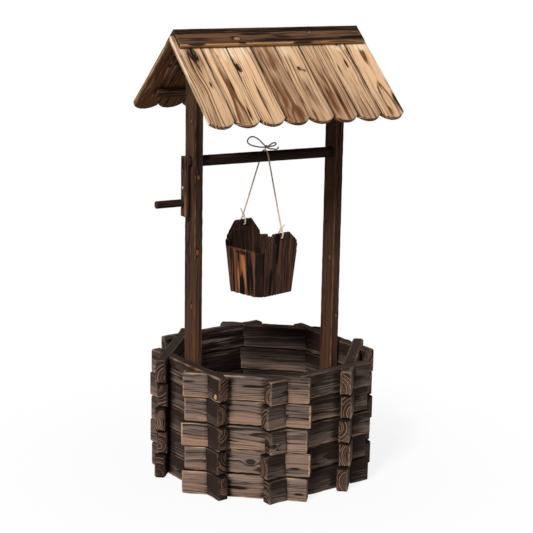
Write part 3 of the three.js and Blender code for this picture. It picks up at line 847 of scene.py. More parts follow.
# The wall's sides, as they go round: how dark their boards are, partly as painted shade; how
# scorched inside, partly as painted shade on the inner faces; how much darker at their first end,
# on the left side as painted shade; and how worn at their ends, on the front left side also as a
# painted highlight
WALL_SIDES = {
    "right": (0.66, 0.42, 0.1, 0.2),
    "back_right": (0.7, 0.05, -0.1, 0.2),
    "back": (0.5, 0.75, 0.1, 0.2),
    "back_left": (0.84, 0.5, 0.1, 0.2),
    "left": (0.86, 0.4, 0.45, 0.2),
    "front_left": (0.4, 0.3, 0.0, 1.1),
    "front": (0.8, 0.3, 0.0, 0.2),
    "front_right": (0.8, 0.3, 0.2, 0.35),
}
# How worn the low and high edges are, on the side that the light falls on, where they also carry a painted
# highlight, and on the others
WORN_AND_HIGHLIT, WORN_REST = (1.3, 0.7), (0.8, 0.25)
# Marks on single boards. Everywhere below a knot is: place along the board, place across it, size,
# on the narrow face, pale. A burn or a bare patch is: place along, place across, half length, half
# width, strength.
WALL_MARKS = {
    "front_left_5": {"burns": [
        (0.147, 0.01, 0.014, 0.003, 0.75), (-0.019, 0.007, 0.026, 0.003, 0.75),
        (-0.116, 0.01, 0.02, 0.003, 0.75),
    ]},
    "front_left_4": {"rise": 0.3, "burns": [(-0.1, 0.0, 0.01, 0.002, 0.5)]},
    "front_left_2": {
        "rise": 0.05, "knots": [(-0.014, 0.0, 0.006, False, False)],
        "burns": [(-0.127, -0.01, 0.014, 0.003, 0.7)],
    },
    "front_left_1": {
        "rise": 0.15, "burns": [(0.018, -0.004, 0.026, 0.006, 0.8), (-0.14, -0.012, 0.012, 0.003, 0.7)],
    },
    "front_3": {"knots": [(0.15, -0.008, 0.005, False, False)]},
    "left_5": {"knots": [(-0.147, -0.022, 0.004, False, True), (-0.149, -0.0155, 0.003, False, True)]},
}


class WELL_OT_wall(bpy.types.Operator):
    """Build the forty boards of the planter wall, halved into each other at the corners"""

    bl_idname = "well.wall"
    bl_label = "Wall"

    def execute(self, context):
        wall = context.scene.well_wall
        for course in range(1, wall.courses + 1):
            for side in range(len(WALL_SIDES)):
                self.board(wall, course, side)
        return {"FINISHED"}

    def board(self, wall, course, side):
        """A board, cut away below where one neighbour crosses it and above where the other does."""
        sides = list(WALL_SIDES)
        eighth = 2 * math.pi / len(sides)

        def axes(side):
            angle = wall.turn + side * eighth - math.pi / 2
            cosine, sine = math.cos(angle), math.sin(angle)
            return np.array([cosine, sine, 0]), np.array([-sine, cosine, 0])

        def reach(side, direction):
            node = f"wall_{sides[side % len(sides)]}_{course}"
            return np.array(span(node, direction)) - WELL_MIDDLE @ direction

        along, out = axes(side)
        faces, heights = reach(side, out), reach(side, UP)
        ends = reach(side, along) + (wall.end_inset, -wall.end_inset)
        depth = faces.mean()
        half = (faces[1] - faces[0]) / 2
        tall = (heights[1] - heights[0]) / 2
        near = []
        for neighbour in (side + 1, side - 1):
            other_out = axes(neighbour)[1]
            room = reach(neighbour, other_out) + (-wall.lap_clearance, wall.lap_clearance)
            near.append((depth * math.cos(eighth) - room[::-1]) / math.sin(eighth))
        laps = near[0], -near[1][::-1]

        # Keys from end to end: each lap has the cut outline, with the full one a hair away
        radius, inner_edge = wall.edge_radius, 0.0008
        full = even(tall, half, radius)
        cut_low = [wall.course_gap / 2, tall, half, inner_edge, radius]
        cut_high = [-tall, -wall.course_gap / 2, half, radius, inner_edge]
        keys = [[ends[0] + radius, 0, 0, *full]]
        for (start, end), slant, cut in zip(laps, (1, -1), (cut_low, cut_high)):
            keys += [[start - HAIR, slant, 0, *full], [start, slant, 0, *cut]]
            keys += [[end, slant, 0, *cut], [end + HAIR, slant, 0, *full]]
        keys.append([ends[1] - radius, 0, 0, *full])

        name = f"{sides[side]}_{course}"
        seed = 100 * course + side
        rng = np.random.default_rng(seed)
        tone, inside, fall, end_wear_and_highlight = WALL_SIDES[sides[side]]
        tone = tone + rng.uniform(-0.1, 0.1)
        pith = (rng.uniform(-0.03, 0.03), rng.choice([-1, 1]) * rng.choice([0.005, 0.016, 0.024, 0.034]))
        # rise darkens each board towards its high edge: its own two tones, and painted shade over its
        # rounding
        marks = {"rise": rng.uniform(0.3, 0.65)}
        marks["knots"] = random_knots(rng, rng.integers(0, 4) // 3, (-0.12, 0.12), tall * 0.6)
        marks["burns"] = random_burns(rng, rng.integers(2, 6), (-0.15, 0.15), tall * 0.7, 0.45)
        marks.update(WALL_MARKS.get(name, {}))
        # Painted shade beside both laps, where the neighbouring boards cross
        beside = 0.004
        lap_shade = [(place, 0, 0.03, 0.2, 0.4) for place in (laps[0][1] + beside, laps[1][0] - beside)]
        marks["burns"] = lap_shade + marks["burns"]
        middle = WELL_MIDDLE + out * depth + UP * (heights[0] + heights[1]) / 2
        timber(
            f"board_{name}", in_place(middle, along, UP, out),
            eased_ends(keys, [6, 1, 4, 1, 22, 1, 4, 1, 6], radius), "wall_board", "well", seed,
            [f"wall_{name}"], rounded_ring(32), tone, inside=inside, pith=pith, lean=0.014, fall=fall,
            # seams paint shade in the gaps between courses, so the top course's top gets none
            seam_char_and_shade=(1.7, 0.0 if course == wall.courses else 1.7), seam_starts=(0.8, 0.58),
            side_wear_and_highlight=WORN_AND_HIGHLIT if sides[side] == "front_left" else WORN_REST, end_wear_and_highlight=end_wear_and_highlight,
            **marks,
        )


# The posts' knots, placed from their feet
POST_KNOTS = {
    "left_post": [
        (0.615, 0.003, 0.0055, True, True), (0.809, 0.002, 0.004, True, True),
        (0.47, -0.012, 0.005, False, True), (0.71, 0.008, 0.0035, False, False),
        (0.95, -0.005, 0.004, False, True),
    ],
    "right_post": [
        (0.749, 0.0, 0.004, False, True), (0.56, -0.01, 0.0055, False, True), (0.4, 0.002, 0.004, True, True),
        (0.655, 0.012, 0.003, False, False),
    ],
}


class WELL_OT_posts(bpy.types.Operator):
    """Build the two posts, pointed under the roof and bored for the roller"""

    bl_idname = "well.posts"
    bl_label = "Posts"

    def execute(self, context):
        posts = context.scene.well_posts
        rise = math.tan(context.scene.well_roof.slope)
        roller_low, roller_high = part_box("roller")
        bore = (roller_high.z - roller_low.z) / 2 + posts.bore_clearance
        for side, seed, facing in (("left", 7, -1.0), ("right", 21, 1.0)):
            name = f"{side}_post"
            low, high = (np.array(corner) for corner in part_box(name))
            half, wide, _ = (high - low) / 2
            shoulder = high[2] - wide * rise
            full = even(wide, half, posts.edge_radius)
            straight_to = shoulder - 0.03
            keys = [[posts.edge_radius, 0, 0, *full], [straight_to, 0, 0, *full], [shoulder, 0, 1, *full]]

            def roof_line(across):
                return high[2] - shoulder - np.abs(across) * rise

            middle = (low + high) / 2 * (1, 1, 0)
            post = timber(
                f"{side}_upright", in_place(middle, UP, (0, 1, 0), (facing, 0, 0)),
                eased_ends(keys, [120, 6], posts.edge_radius, last=False), "post", "well", seed, [name],
                # fall darkens each post towards its top: painted shade under the roof
                rounded_ring(26, edge_steps=5), 0.48, fall=-0.35, arc=roof_line, pith=(0.02, -0.03),
                lean=0.01, knots=POST_KNOTS[name], seam_char_and_shade=(0.1, 0.1),
                burns=random_burns(np.random.default_rng(seed), 6, (0.1, 1.0), wide, 0.45),
            )
            # The left bore goes right through; the right one ends just past the roller
            past = 0.02
            start = low[0] - past
            end = high[0] + past if facing < 0 else roller_high.x + HAIR
            drill(post, (start, AXIS[1], AXIS[2]), (1, 0, 0), end - start, bore)
        return {"FINISHED"}


def vectors_of(collection, key):
    values = np.empty(3 * len(collection))
    collection.foreach_get(key, values)
    return values.reshape(-1, 3)


def mend_marks(mesh, old, start, direction, radius):
    """Gives a hole's new points the marks of the wood round it, by a linear fit to the points near it."""

    def off_axis(points):
        return np.linalg.norm(np.cross(points - start, direction), axis=1)

    new_points, old_points = vectors_of(mesh.vertices, "co"), vectors_of(old.vertices, "co")
    fresh = off_axis(new_points) < radius * 1.02
    near = off_axis(old_points) < max(radius * 2.5, 0.012)
    known = np.column_stack([old_points[near], np.ones(near.sum())])
    wanted = np.column_stack([new_points[fresh], np.ones(fresh.sum())])
    for key in ("grain", "finish", "knot"):
        old_values = vectors_of(old.attributes[key].data, "vector")
        fit, *_ = np.linalg.lstsq(known, old_values[near], rcond=None)
        values = vectors_of(mesh.attributes[key].data, "vector")
        values[fresh] = wanted @ fit
        mesh.attributes[key].data.foreach_set("vector", values.ravel())


def drill(piece, start, direction, depth, radius, sides=48):
    """Cuts a round hole into a finished piece."""
    start, direction = np.array(start), np.array(direction, float)
    first = np.cross(direction, UP)
    first /= np.linalg.norm(first)
    second = np.cross(direction, first)
    angle = circle(sides)
    ring = radius * (np.outer(np.cos(angle), first) + np.outer(np.sin(angle), second))
    points = np.concatenate([start + ring, start + direction * depth + ring])
    tool = in_scene("drill", closed_mesh("drill", points, capped_tube(2, sides)))
    cut = piece.modifiers.new("Hole", "BOOLEAN")
    cut.operation = "DIFFERENCE"
    cut.solver = "MANIFOLD"
    cut.object = tool
    bpy.context.view_layer.update()
    depsgraph = bpy.context.evaluated_depsgraph_get()
    result = bpy.data.meshes.new_from_object(
        piece.evaluated_get(depsgraph), preserve_all_data_layers=True, depsgraph=depsgraph
    )
    piece.modifiers.clear()
    old = piece.data
    result.name = old.name
    piece.data = result
    mend_marks(result, old, start, direction, radius)
    smooth(result, SHARP_WOOD)
    bpy.data.objects.remove(tool)
    bpy.data.meshes.remove(old)


# How dark each plank is, from the crank's side on the front and from the other side on the back
PLANK_TONES = {
    "front": (0.31, 0.19, 0.2, 0.54, 0.33, 0.45, 0.28, 0.22),
    "back": (0.28, 0.37, 0.2, 0.33, 0.46, 0.22, 0.38, 0.26),
}
# How bare each plank is near the ridge, which also paints the lamp's highlight there, and how much more its
# rings swirl
PLANK_BARE = (0.3, 1.5, 1.8, 0.0, 0.7, 0.1, 1.0, 1.5)
PLANK_BURL = (1.0, 1.0, 1.0, 1.5, 1.0, 1.0, 1.0, 1.0)
# The front planks' knots and burns, placed from the ridge
PLANK_KNOTS = {
    0: [(-0.054, 0.008, 0.006, False, False)],
    2: [(-0.116, -0.026, 0.0045, False, False)],
    4: [(-0.12, 0.003, 0.0035, False, False), (-0.127, 0.016, 0.0025, False, False)],
    6: [(-0.04, 0.01, 0.003, False, False)],
}
PLANK_BURNS = {
    0: [
        (-0.058, 0.004, 0.024, 0.012, 0.45), (-0.064, 0.004, 0.05, 0.022, 0.28),
        (-0.164, 0.015, 0.012, 0.003, 0.7), (-0.13, -0.004, 0.06, 0.016, 0.22),
    ],
    1: [
        (-0.069, 0.002, 0.008, 0.003, 0.9), (-0.168, 0.0, 0.02, 0.003, 1.0),
        (-0.262, 0.012, 0.02, 0.003, 0.8),
    ],
    2: [
        (-0.11, -0.026, 0.014, 0.006, 0.8), (-0.215, -0.004, 0.05, 0.0045, 0.95),
        (-0.15, 0.02, 0.05, 0.003, 0.5),
    ],
    3: [
        (-0.08, 0.0, 0.04, 0.02, 0.3), (-0.2, -0.008, 0.05, 0.016, 0.3),
        (-0.27, 0.012, 0.02, 0.01, 0.35),
    ],
    4: [
        (-0.2, 0.002, 0.04, 0.012, 0.35), (-0.28, -0.02, 0.02, 0.003, 0.8),
        (-0.24, 0.01, 0.03, 0.004, 0.4),
    ],
    5: [(-0.176, 0.006, 0.12, 0.007, 0.35), (-0.24, -0.02, 0.05, 0.004, 0.5)],
    6: [
        (-0.132, -0.019, 0.022, 0.003, 0.9), (-0.108, 0.009, 0.014, 0.004, 1.0),
        (-0.225, 0.0, 0.06, 0.005, 0.55),
    ],
    7: [
        (-0.105, 0.007, 0.03, 0.02, 0.16), (-0.254, 0.028, 0.035, 0.009, 0.75),
        (-0.277, -0.003, 0.014, 0.006, 0.45),
    ],
}


class Slope:
    """One slope of the roof: its directions, and where its planks' undersides are."""

    def __init__(self, index, roof):
        self.index, self.front = index, index == 0
        self.name = "front" if self.front else "back"
        self.facing = -1 if self.front else 1
        sine, cosine = math.sin(roof.slope), math.cos(roof.slope)
        self.along = np.array([float(-self.facing), 0, 0])
        self.up = np.array([0, -self.facing * cosine, sine])
        self.out = np.array([0, self.facing * sine, cosine])
        self.other_out = self.out * (1, -1, 1)
        self.outer = span(f"roof_{self.name}", self.out)[1]
        self.under = self.outer - roof.plank_thickness


class WELL_OT_roof(bpy.types.Operator):
    """Build the planks, the battens and the ridge caps of both slopes"""

    bl_idname = "well.roof"
    bl_label = "Roof"

    def execute(self, context):
        roof = context.scene.well_roof
        for slope in (Slope(0, roof), Slope(1, roof)):
            for i in range(roof.planks):
                self.plank(roof, slope, i)
            self.battens(roof, slope)
            self.cap(roof, slope)
        return {"FINISHED"}

    def plank(self, roof, slope, i):
        """A plank with a rounded lower end, cut upright at the ridge."""
        half_plank = (roof.plank_width - roof.plank_gap) / 2
        arc_radius = (half_plank ** 2 + roof.round_rise ** 2) / (2 * roof.round_rise)

        def rounded_end(across):
            inside = np.minimum(np.abs(across), half_plank)
            return arc_radius - np.sqrt(arc_radius ** 2 - inside ** 2)

        # The lower end's arc dies away towards the ridge, where the plank is cut along an upright plane
        node = f"roof_{slope.name}"
        radius, inset, near_end = roof.edge_radius, 0.0004, 0.06
        mid = (slope.under + slope.outer) / 2
        ridge_y = WELL_MIDDLE[1] + slope.facing * HAIR / 2
        start = span(node, slope.up)[0] + radius + inset
        end = (ridge_y - slope.out[1] * mid) / slope.up[1]
        sizes = even(half_plank, roof.plank_thickness / 2, radius)
        upright = -slope.out[1] / slope.up[1]
        keys = [[start, 0, 1, *sizes], [start + near_end, 0, 0.8, *sizes], [end, upright, 0, *sizes]]

        seed = 900 + 40 * slope.index + i
        rng = np.random.default_rng(seed)
        # Near the ridge the planks are lighter: bare wood, with the lamp's highlight painted in
        by_ridge = end - 0.038
        bare = [(by_ridge, rng.uniform(-0.01, 0.01), rng.uniform(0.02, 0.045), 0.03, PLANK_BARE[i])]
        if slope.front:
            knots = [(end + place, *rest) for place, *rest in PLANK_KNOTS.get(i, ())]
            burns = [(end + place, *rest) for place, *rest in PLANK_BURNS.get(i, ())]
        else:
            knots = random_knots(rng, rng.integers(0, 3), (start, end), half_plank * 0.8, (0.0025, 0.006))
            burns = random_burns(rng, rng.integers(2, 5), (start, end), half_plank * 0.9)
        # Char and painted shade along both long edges, in the gaps between planks
        edges = [(0.0, side * half_plank, ALL_ALONG, 0.0035, 0.3) for side in (-1, 1)]
        aside = WELL_MIDDLE[0] * slope.along[0] + (i + 0.5 - roof.planks / 2) * roof.plank_width
        at_gable = i == 0
        timber(
            f"plank_{slope.name}_{i + 1}",
            in_place(slope.along * aside + slope.out * mid, slope.up, slope.along, slope.out),
            eased_ends(keys, [12, 40], radius, last=False), "roof_plank", "well", seed, [node],
            # inside and inside_tone darken the undersides: scorch and painted shade
            rounded_ring(30, edge_steps=1, corner_steps=3), PLANK_TONES[slope.name][i], inside=0.5,
            inside_tone=0.38, fall=0.3, arc=rounded_end, wear=0.2, burl=PLANK_BURL[i], lean=0.012,
            pith=(rng.uniform(-0.022, 0.022), rng.choice([-1, 1]) * (0.012 + 0.03 * rng.random())),
            # seams paint more shade where a neighbouring plank lies, none at the gable
            knots=knots, burns=burns + edges, bare=bare, seam_char_and_shade=(0.0 if at_gable else 0.5, 0.5),
            # end_shade paints shade on the planks' rounded lower ends
            seam_starts=(0.3, 0.3), sides_bare=(1.5 if at_gable else 0, 0), end_shade=0.12,
        )

    def battens(self, roof, slope):
        """The lower batten, where its node is, and the upper one beside the posts."""
        lower = f"roof_batten_{slope.name}"
        ends = span(lower, slope.along)
        post_low, post_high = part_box("left_post")
        thick, half_width = roof.batten_thickness, roof.batten_width / 2
        clear = (post_high.y - post_low.y) / 2 + ROOM + thick * math.sin(roof.slope)
        under_ridge = (WELL_MIDDLE[1] - slope.out[1] * slope.under) / slope.up[1]
        upper_top = under_ridge - clear / math.cos(roof.slope)
        places = (
            ("lower", span(lower, slope.up)[1], span(lower, slope.out)[1], lower, 75),
            ("upper", upper_top, slope.under, f"roof_{slope.name}", 76),
        )
        for name, top, face, node, seed in places:
            middle = slope.up * (top - half_width) + slope.out * (face - thick / 2)
            timber(
                f"batten_{name}_{slope.name}", in_place(middle, slope.along, slope.up, slope.out),
                straight(*ends, even(half_width, thick / 2, roof.edge_radius), 60), "ridge_cap", "well",
                seed + slope.index * 10, [node], rounded_ring(12), 0.45, heat=0.1,
            )

    def cap(self, roof, slope):
        """A cap board. The back cap runs over the front one's upper edge, flush with its face."""
        node = f"ridge_cap_{slope.name}"
        low = span(node, slope.up)[0]
        other = span("ridge_cap_back" if slope.front else "ridge_cap_front", slope.other_out)[1]
        if slope.front:
            other -= roof.cap_thickness + roof.cap_gap
        half = roof.cap_thickness / 2
        base = span(node, slope.out)[1] - half
        lean = -slope.out @ slope.other_out / (slope.up @ slope.other_out)
        high = other / (slope.up @ slope.other_out) + lean * base
        middle = (low + high) / 2
        low, high = low - middle, high - middle
        place = in_place(slope.up * middle + slope.out * base, slope.along, slope.up, slope.out)

        def mitred(local):
            """Shears the upper edge, so that it lies in the other cap's face."""
            upper = np.clip((local[:, 1] - low) / (high - low), 0, 1) ** 4
            return place(local + np.outer(lean * local[:, 2] * upper, (0, 1, 0)))

        burns = random_burns(np.random.default_rng(60 + slope.index), 14, (-0.26, 0.26), 0.024)
        knots, seam_char_and_shade = (), (0.0, 0.6)
        if slope.front:
            # The first burn paints shade along the front cap's upper edge, in the gap under the back cap
            burns += [(0.0, high - 0.001, ALL_ALONG, 0.0022, 3.0), (0.1, -0.012, 0.16, 0.002, 1.0)]
            knots, seam_char_and_shade = [(-0.1, -0.003, 0.006, False, True), (0.12, 0.014, 0.003, False, True)], (0, 0)
        timber(
            f"cap_{slope.name}", mitred,
            straight(*span(node, slope.along), [low, high, half, roof.edge_radius, SLIGHT], 90),
            "ridge_cap", "well", 50 + slope.index, [node], rounded_ring(24), 0.45, lean=0.006,
            pith=(0.006, -0.012), knots=knots, burns=burns, seam_char_and_shade=seam_char_and_shade,
            # The bare line and sides_bare paint a highlight along the cap's lower edge
            bare=[(0.0, low + 0.001, ALL_ALONG, 0.002, 2.0)], sides_bare=(0.7, 0),
        )


class WELL_OT_crank(bpy.types.Operator):
    """Build the roller, the crank arm with its screws, and the handle"""

    bl_idname = "well.crank"
    bl_label = "Crank"

    def execute(self, context):
        posts = context.scene.well_posts
        self.rod("roller", "turning_roller", SLIGHT, 300)
        self.rod("crank_handle", "turning_handle", posts.rod_ease, 301)
        low, high = (np.array(corner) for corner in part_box("crank_arm"))
        half = (high - low) / 2
        arm = timber(
            "turning_arm", in_place((low + high) / 2, UP, (0, 1, 0), (-1, 0, 0)),
            straight(-half[2], half[2], even(half[1], half[0], posts.arm_radius), 40),
            "post", "windlass", 305, ["crank_arm"], rounded_ring(12), 0.5, pith=(0.004, -0.02),
            knots=[(0.04, 0.004, 0.003, False, True)], bare=[(-0.05, -0.012, 0.03, 0.004, 1.5)],
            burns=[
                (0.02, 0.006, 0.02, 0.004, 0.9), (0.055, 0.0, 0.016, 0.014, 0.75),
                (-0.04, 0.004, 0.014, 0.005, 0.9),
            ],
        )
        # One screw sits deep in a hole on the roller's axis, the other on the arm below it
        outer, hole, before, deep = low[0], posts.screw_diameter * 0.42, 0.01, 0.0065
        drill(arm, (outer - before, AXIS[1], AXIS[2]), (1, 0, 0), before + deep, hole, sides=24)
        self.screw("screw_in_hole", (outer + 0.0058, AXIS[1], AXIS[2]), hole * 0.92)
        on_arm = (outer - ROOM, AXIS[1], AXIS[2] - posts.screw_drop)
        self.screw("screw_on_arm", on_arm, posts.screw_diameter / 2)
        return {"FINISHED"}

    def rod(self, node, name, ease, seed):
        """A round rod along X: a circle carried along it, drawn in at both ends, with a faint waver."""
        low, high = (np.array(corner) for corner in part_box(node))
        radius = (high[2] - low[2]) / 2
        middle = (low + high) / 2
        sides = 64
        bend = np.linspace(0, math.pi / 2, 4)
        start = low[0] + ease * (1 - np.cos(bend))
        end = high[0] - ease * (1 - np.cos(bend[::-1]))
        rise = radius - ease * (1 - np.sin(bend))
        between = np.linspace(low[0] + ease, high[0] - ease, 90)[1:-1]
        x = np.concatenate([start, between, end])
        reach = np.concatenate([rise, np.full(len(between), radius), rise[::-1]])
        reach = reach * (1 - 0.008 * (1 + wobble(x, seed, 0.07)))
        angle = circle(sides)
        grid = np.stack(np.broadcast_arrays(
            x[:, None] - middle[0], reach[:, None] * np.cos(angle), reach[:, None] * np.sin(angle),
        ), axis=-1)
        at_end = np.abs(x - middle[0]) > (high[0] - middle[0]) - 2 * ease
        worn = np.broadcast_to(at_end[:, None], grid.shape[:-1])
        marks = sample_marks(grid, seed, 0.1, worn * 1.6, 0.0)
        faces = capped_tube(len(x), sides)
        closed_piece(name, grid.reshape(-1, 3) + middle, faces, "crank_wood", "windlass", [node], marks)

    def screw(self, name, place, radius):
        """A pan head with a cross recess: a turned profile whose top is pressed in along two bars."""
        rings, sides = 10, 48
        out = np.linspace(1, 0.08, rings)[:, None] * radius
        angle = circle(sides)[None, :]
        across, up = out * np.cos(angle), out * np.sin(angle)
        dome = 0.32 * radius * np.sqrt(np.clip(1 - (out / radius) ** 2 * 0.85, 0, 1)) * np.ones_like(angle)
        bar = 0.13 * radius
        in_cross = ((np.abs(across) < bar) | (np.abs(up) < bar)) & (out < 0.62 * radius)
        height = np.where(in_cross, dome - 0.3 * radius, dome)
        top = np.stack([-height, across, up], axis=-1)
        foot = top[:1] * (0, 1, 1) + (0.3 * radius, 0, 0)
        grid = np.concatenate([foot, top]) + np.asarray(place)
        closed_piece(name, grid.reshape(-1, 3), capped_tube(len(grid), sides), "screw", "windlass")


# How dark each stave is, from the low right one round by the back, and marks on single staves
STAVE_TONES = {
    "low_right": 0.55, "corner_back": 0.6, "tall_back": 0.62, "corner_left": 0.6,
    "low_left": 0.3, "corner_front": 0.85, "tall_front": 0.58, "corner_right": 0.45,
}
STAVE_MARKS = {
    "low_left": {
        "burns": [
            (0.02, 0.0, 0.03, 0.008, 1.3), (0.055, 0.002, 0.014, 0.003, 1.0), (0.07, 0.03, 0.07, 0.012, 0.7),
            (0.06, -0.034, 0.08, 0.008, 0.6), (0.115, 0.005, 0.006, 0.02, 0.5),
            (0.1, -0.008, 0.012, 0.003, 0.7),
        ],
        "bare": [
            (0.085, 0.006, 0.03, 0.007, 1.2), (0.04, -0.013, 0.03, 0.004, 1.2),
            (0.06, 0.014, 0.04, 0.004, 1.0),
        ],
    },
    "corner_front": {"heat": 0.4},
    "tall_front": {"burns": [
        (0.155, -0.016, 0.012, 0.008, 1.3), (0.12, -0.012, 0.03, 0.004, 1.1), (0.04, -0.03, 0.03, 0.004, 1.1),
        (0.1, 0.02, 0.05, 0.003, 0.6),
    ]},
}


class StaveRing:
    """The bucket's place, and the eight-sided ring of its staves, which widens upwards."""

    def __init__(self, size):
        self.size = size
        self.base = middle_of("bucket_floor") * (1, 1, 0) + UP * span("bucket_tall_front", UP)[0]
        cosine, sine = math.cos(size.turn), math.sin(size.turn)
        self.axes = np.array([[cosine, sine, 0], [-sine, cosine, 0], [0, 0, 1]])

    def put(self, local):
        """Where places in the bucket's own axes are in the row frame."""
        return local @ self.axes + self.base

    def top(self, name):
        """Height of a tall stave's top over the bucket's foot."""
        return span(f"bucket_tall_{name}", UP)[1] - self.base[2]

    def across(self, key, height):
        """Half the ring's width, depth or stave width at a height."""
        low, high = getattr(self.size, f"{key}_low"), getattr(self.size, f"{key}_high")
        return (low + np.asarray(height) / self.size.ring_height * (high - low)) / 2

    def corner(self, index, height, inset=0.0):
        """A corner of the ring at a height, drawn in by an inset."""
        wide, deep = self.across("width", height) - inset, self.across("depth", height) - inset
        flat = self.across("stave", height) - inset * math.tan(math.pi / 8)
        side = flat - self.size.low_stave_less
        corners = (
            (wide, -side), (wide, side), (flat, deep), (-flat, deep),
            (-wide, side), (-wide, -side), (-flat, -deep), (flat, -deep),
        )
        return np.stack(np.broadcast_arrays(*corners[index % 8]), axis=-1)


class WELL_OT_bucket(bpy.types.Operator):
    """Build the eight staves and the floor board of the bucket"""

    bl_idname = "well.bucket"
    bl_label = "Bucket"

    def execute(self, context):
        size = context.scene.well_bucket
        ring = StaveRing(size)
        staves = (
            (size.low_right, None, "bucket_low_right"),
            (size.back_corner, None, "bucket_low_right"),
            (ring.top("back"), size.shoulder_back, "bucket_tall_back"),
            (size.left_corner, None, "bucket_low_left"),
            (size.low_left, None, "bucket_low_left"),
            (size.front_corner, None, "bucket_low_left"),
            (ring.top("front"), size.shoulder_front, "bucket_tall_front"),
            (size.right_corner, None, "bucket_low_right"),
        )
        for index, (name, stave) in enumerate(zip(STAVE_TONES, staves)):
            self.stave(size, ring, index, name, *stave)

        # The floor board fits inside the ring, with its edges eased a little
        low, high = size.floor_rise, size.floor_rise + size.floor_thickness
        rim = np.array([ring.corner(i, low, size.stave_thickness + ROOM) for i in range(8)])
        rings = ((low, 0.985), (low + 0.001, 1.0), (high - 0.001, 1.0), (high, 0.985))
        grid = np.concatenate([np.column_stack([rim * inset, np.full(8, height)]) for height, inset in rings])
        marks = sample_marks(grid, 420, 0.5, 0.0, 0.2)
        closed_piece(
            "bucket_base", ring.put(grid), capped_tube(len(rings), 8), "bucket_stave", "bucket",
            ["bucket_floor"], marks,
        )
        return {"FINISHED"}

    def stave(self, size, ring, index, name, top, shoulder, node):
        """A stave: its outline runs up between two corners of the ring and leans out with them.

        A tall stave has a shoulder, from which it narrows to its top; the front one's shoulder is
        lower on the crank's side.
        """
        half = size.stave_thickness / 2
        radius = size.edge_radius

        def half_width(height):
            first, second = ring.corner(index, height), ring.corner(index + 1, height)
            return np.linalg.norm(second - first, axis=-1) / 2 - size.joint / 2

        if shoulder is None:
            heights, steps = [radius, top - radius], [44]
            low_places = high_places = ([0, top], [half_width(0), half_width(top)])
        else:
            low_shoulder = shoulder - (size.shoulder_drop if name == "tall_front" else 0)
            over_shoulder = shoulder + 0.0001
            heights, steps = [radius, low_shoulder, over_shoulder, top - radius], [34, 8, 12]
            point = size.top_width / 2
            low_places = ([0, low_shoulder, top], [half_width(0), half_width(low_shoulder), point])
            high_places = ([0, shoulder, top], [half_width(0), half_width(shoulder), point])
        keys = []
        for height in heights:
            low, high = -np.interp(height, *low_places), np.interp(height, *high_places)
            keys.append([height, 0, 0, low, high, half, radius, radius])
        rows = eased_ends(keys, steps, radius)
        # The brushed ends are ragged: the ends' arcs are sines, and die away within a little
        fade = 0.006
        rows[:, 2] = np.exp((rows[:, 0] - top) / fade) - np.exp(-rows[:, 0] / fade)

        def ragged(across):
            depth, length_of_tooth = 0.0011, 0.012
            return -depth * (0.9 + wobble(across, 500 + index, length_of_tooth))

        def place(local):
            height, aside, out = local.T
            first, second = ring.corner(index, height), ring.corner(index + 1, height)
            across = (second - first) / np.linalg.norm(second - first, axis=-1, keepdims=True)
            outward = np.stack([across[:, 1], -across[:, 0]], axis=-1)
            drawn = aside / half_width(height) * math.tan(math.pi / 8) * (half - out)
            flat = (first + second) / 2 + across * (aside - drawn)[:, None] + outward * (out - half)[:, None]
            return ring.put(np.column_stack([flat, height]))

        seed = 410 + index
        rng = np.random.default_rng(seed)
        # Arched rings show only on the low left stave; the others' grain is straight
        arched = name == "low_left"
        pith = (0.004, -0.014) if arched else (rng.choice([-1, 1]) * rng.uniform(0.05, 0.08), -0.04)
        marks = {"heat": 0.08, "burns": random_burns(rng, 4, (0.0, top), 0.05), **STAVE_MARKS.get(name, {})}
        stave = timber(
            f"stave_{name}", place, rows, "bucket_stave", "bucket", seed, [node],
            rounded_ring(18 if "corner" in name else 60, corner_steps=3), STAVE_TONES[name], wear=0.25,
            arc=ragged, inside=0.18, lean=0.012, pith=pith, seam_char_and_shade=(0.7, 0.7), **marks,
        )
        if shoulder is not None:
            # From the bucket's middle outwards, to well past the stave
            toward = np.array([0, 1 if name == "tall_back" else -1, 0]) @ ring.axes
            start, deep = ring.put(UP * (top - size.hole_drop)), 0.12
            drill(stave, start, toward, deep, size.hole_diameter / 2, sides=24)


# The bow's two loops and its tail: steps, and places in millimetres from the middle of its knot
BOW = (
    (200, [
        (1, -2.15, 0), (-14, -2.6, 0.5), (-31, -2.4, 3.5), (-47, -1.5, 8.5), (-55, 0, 16),
        (-51, 1.5, 25), (-39, 2.4, 29), (-22, 2.6, 21.5), (-8, 2.5, 9), (1, 2.15, 0),
    ]),
    (120, [
        (-1, -2.15, 0), (8, -2.5, 4), (17, -2.4, 9), (26, -1.5, 10), (30, 0, 6),
        (25, 1.5, 2), (15, 2.4, 0.5), (7, 2.5, -0.5), (-1, 2.15, 0),
    ]),
    (70, [
        (1, 0, -0.5), (9, -0.4, -4.5), (19, -1.5, -6), (28, -2, -7.5), (35, -1.5, -5.5), (36, -0.5, -1),
    ]),
)


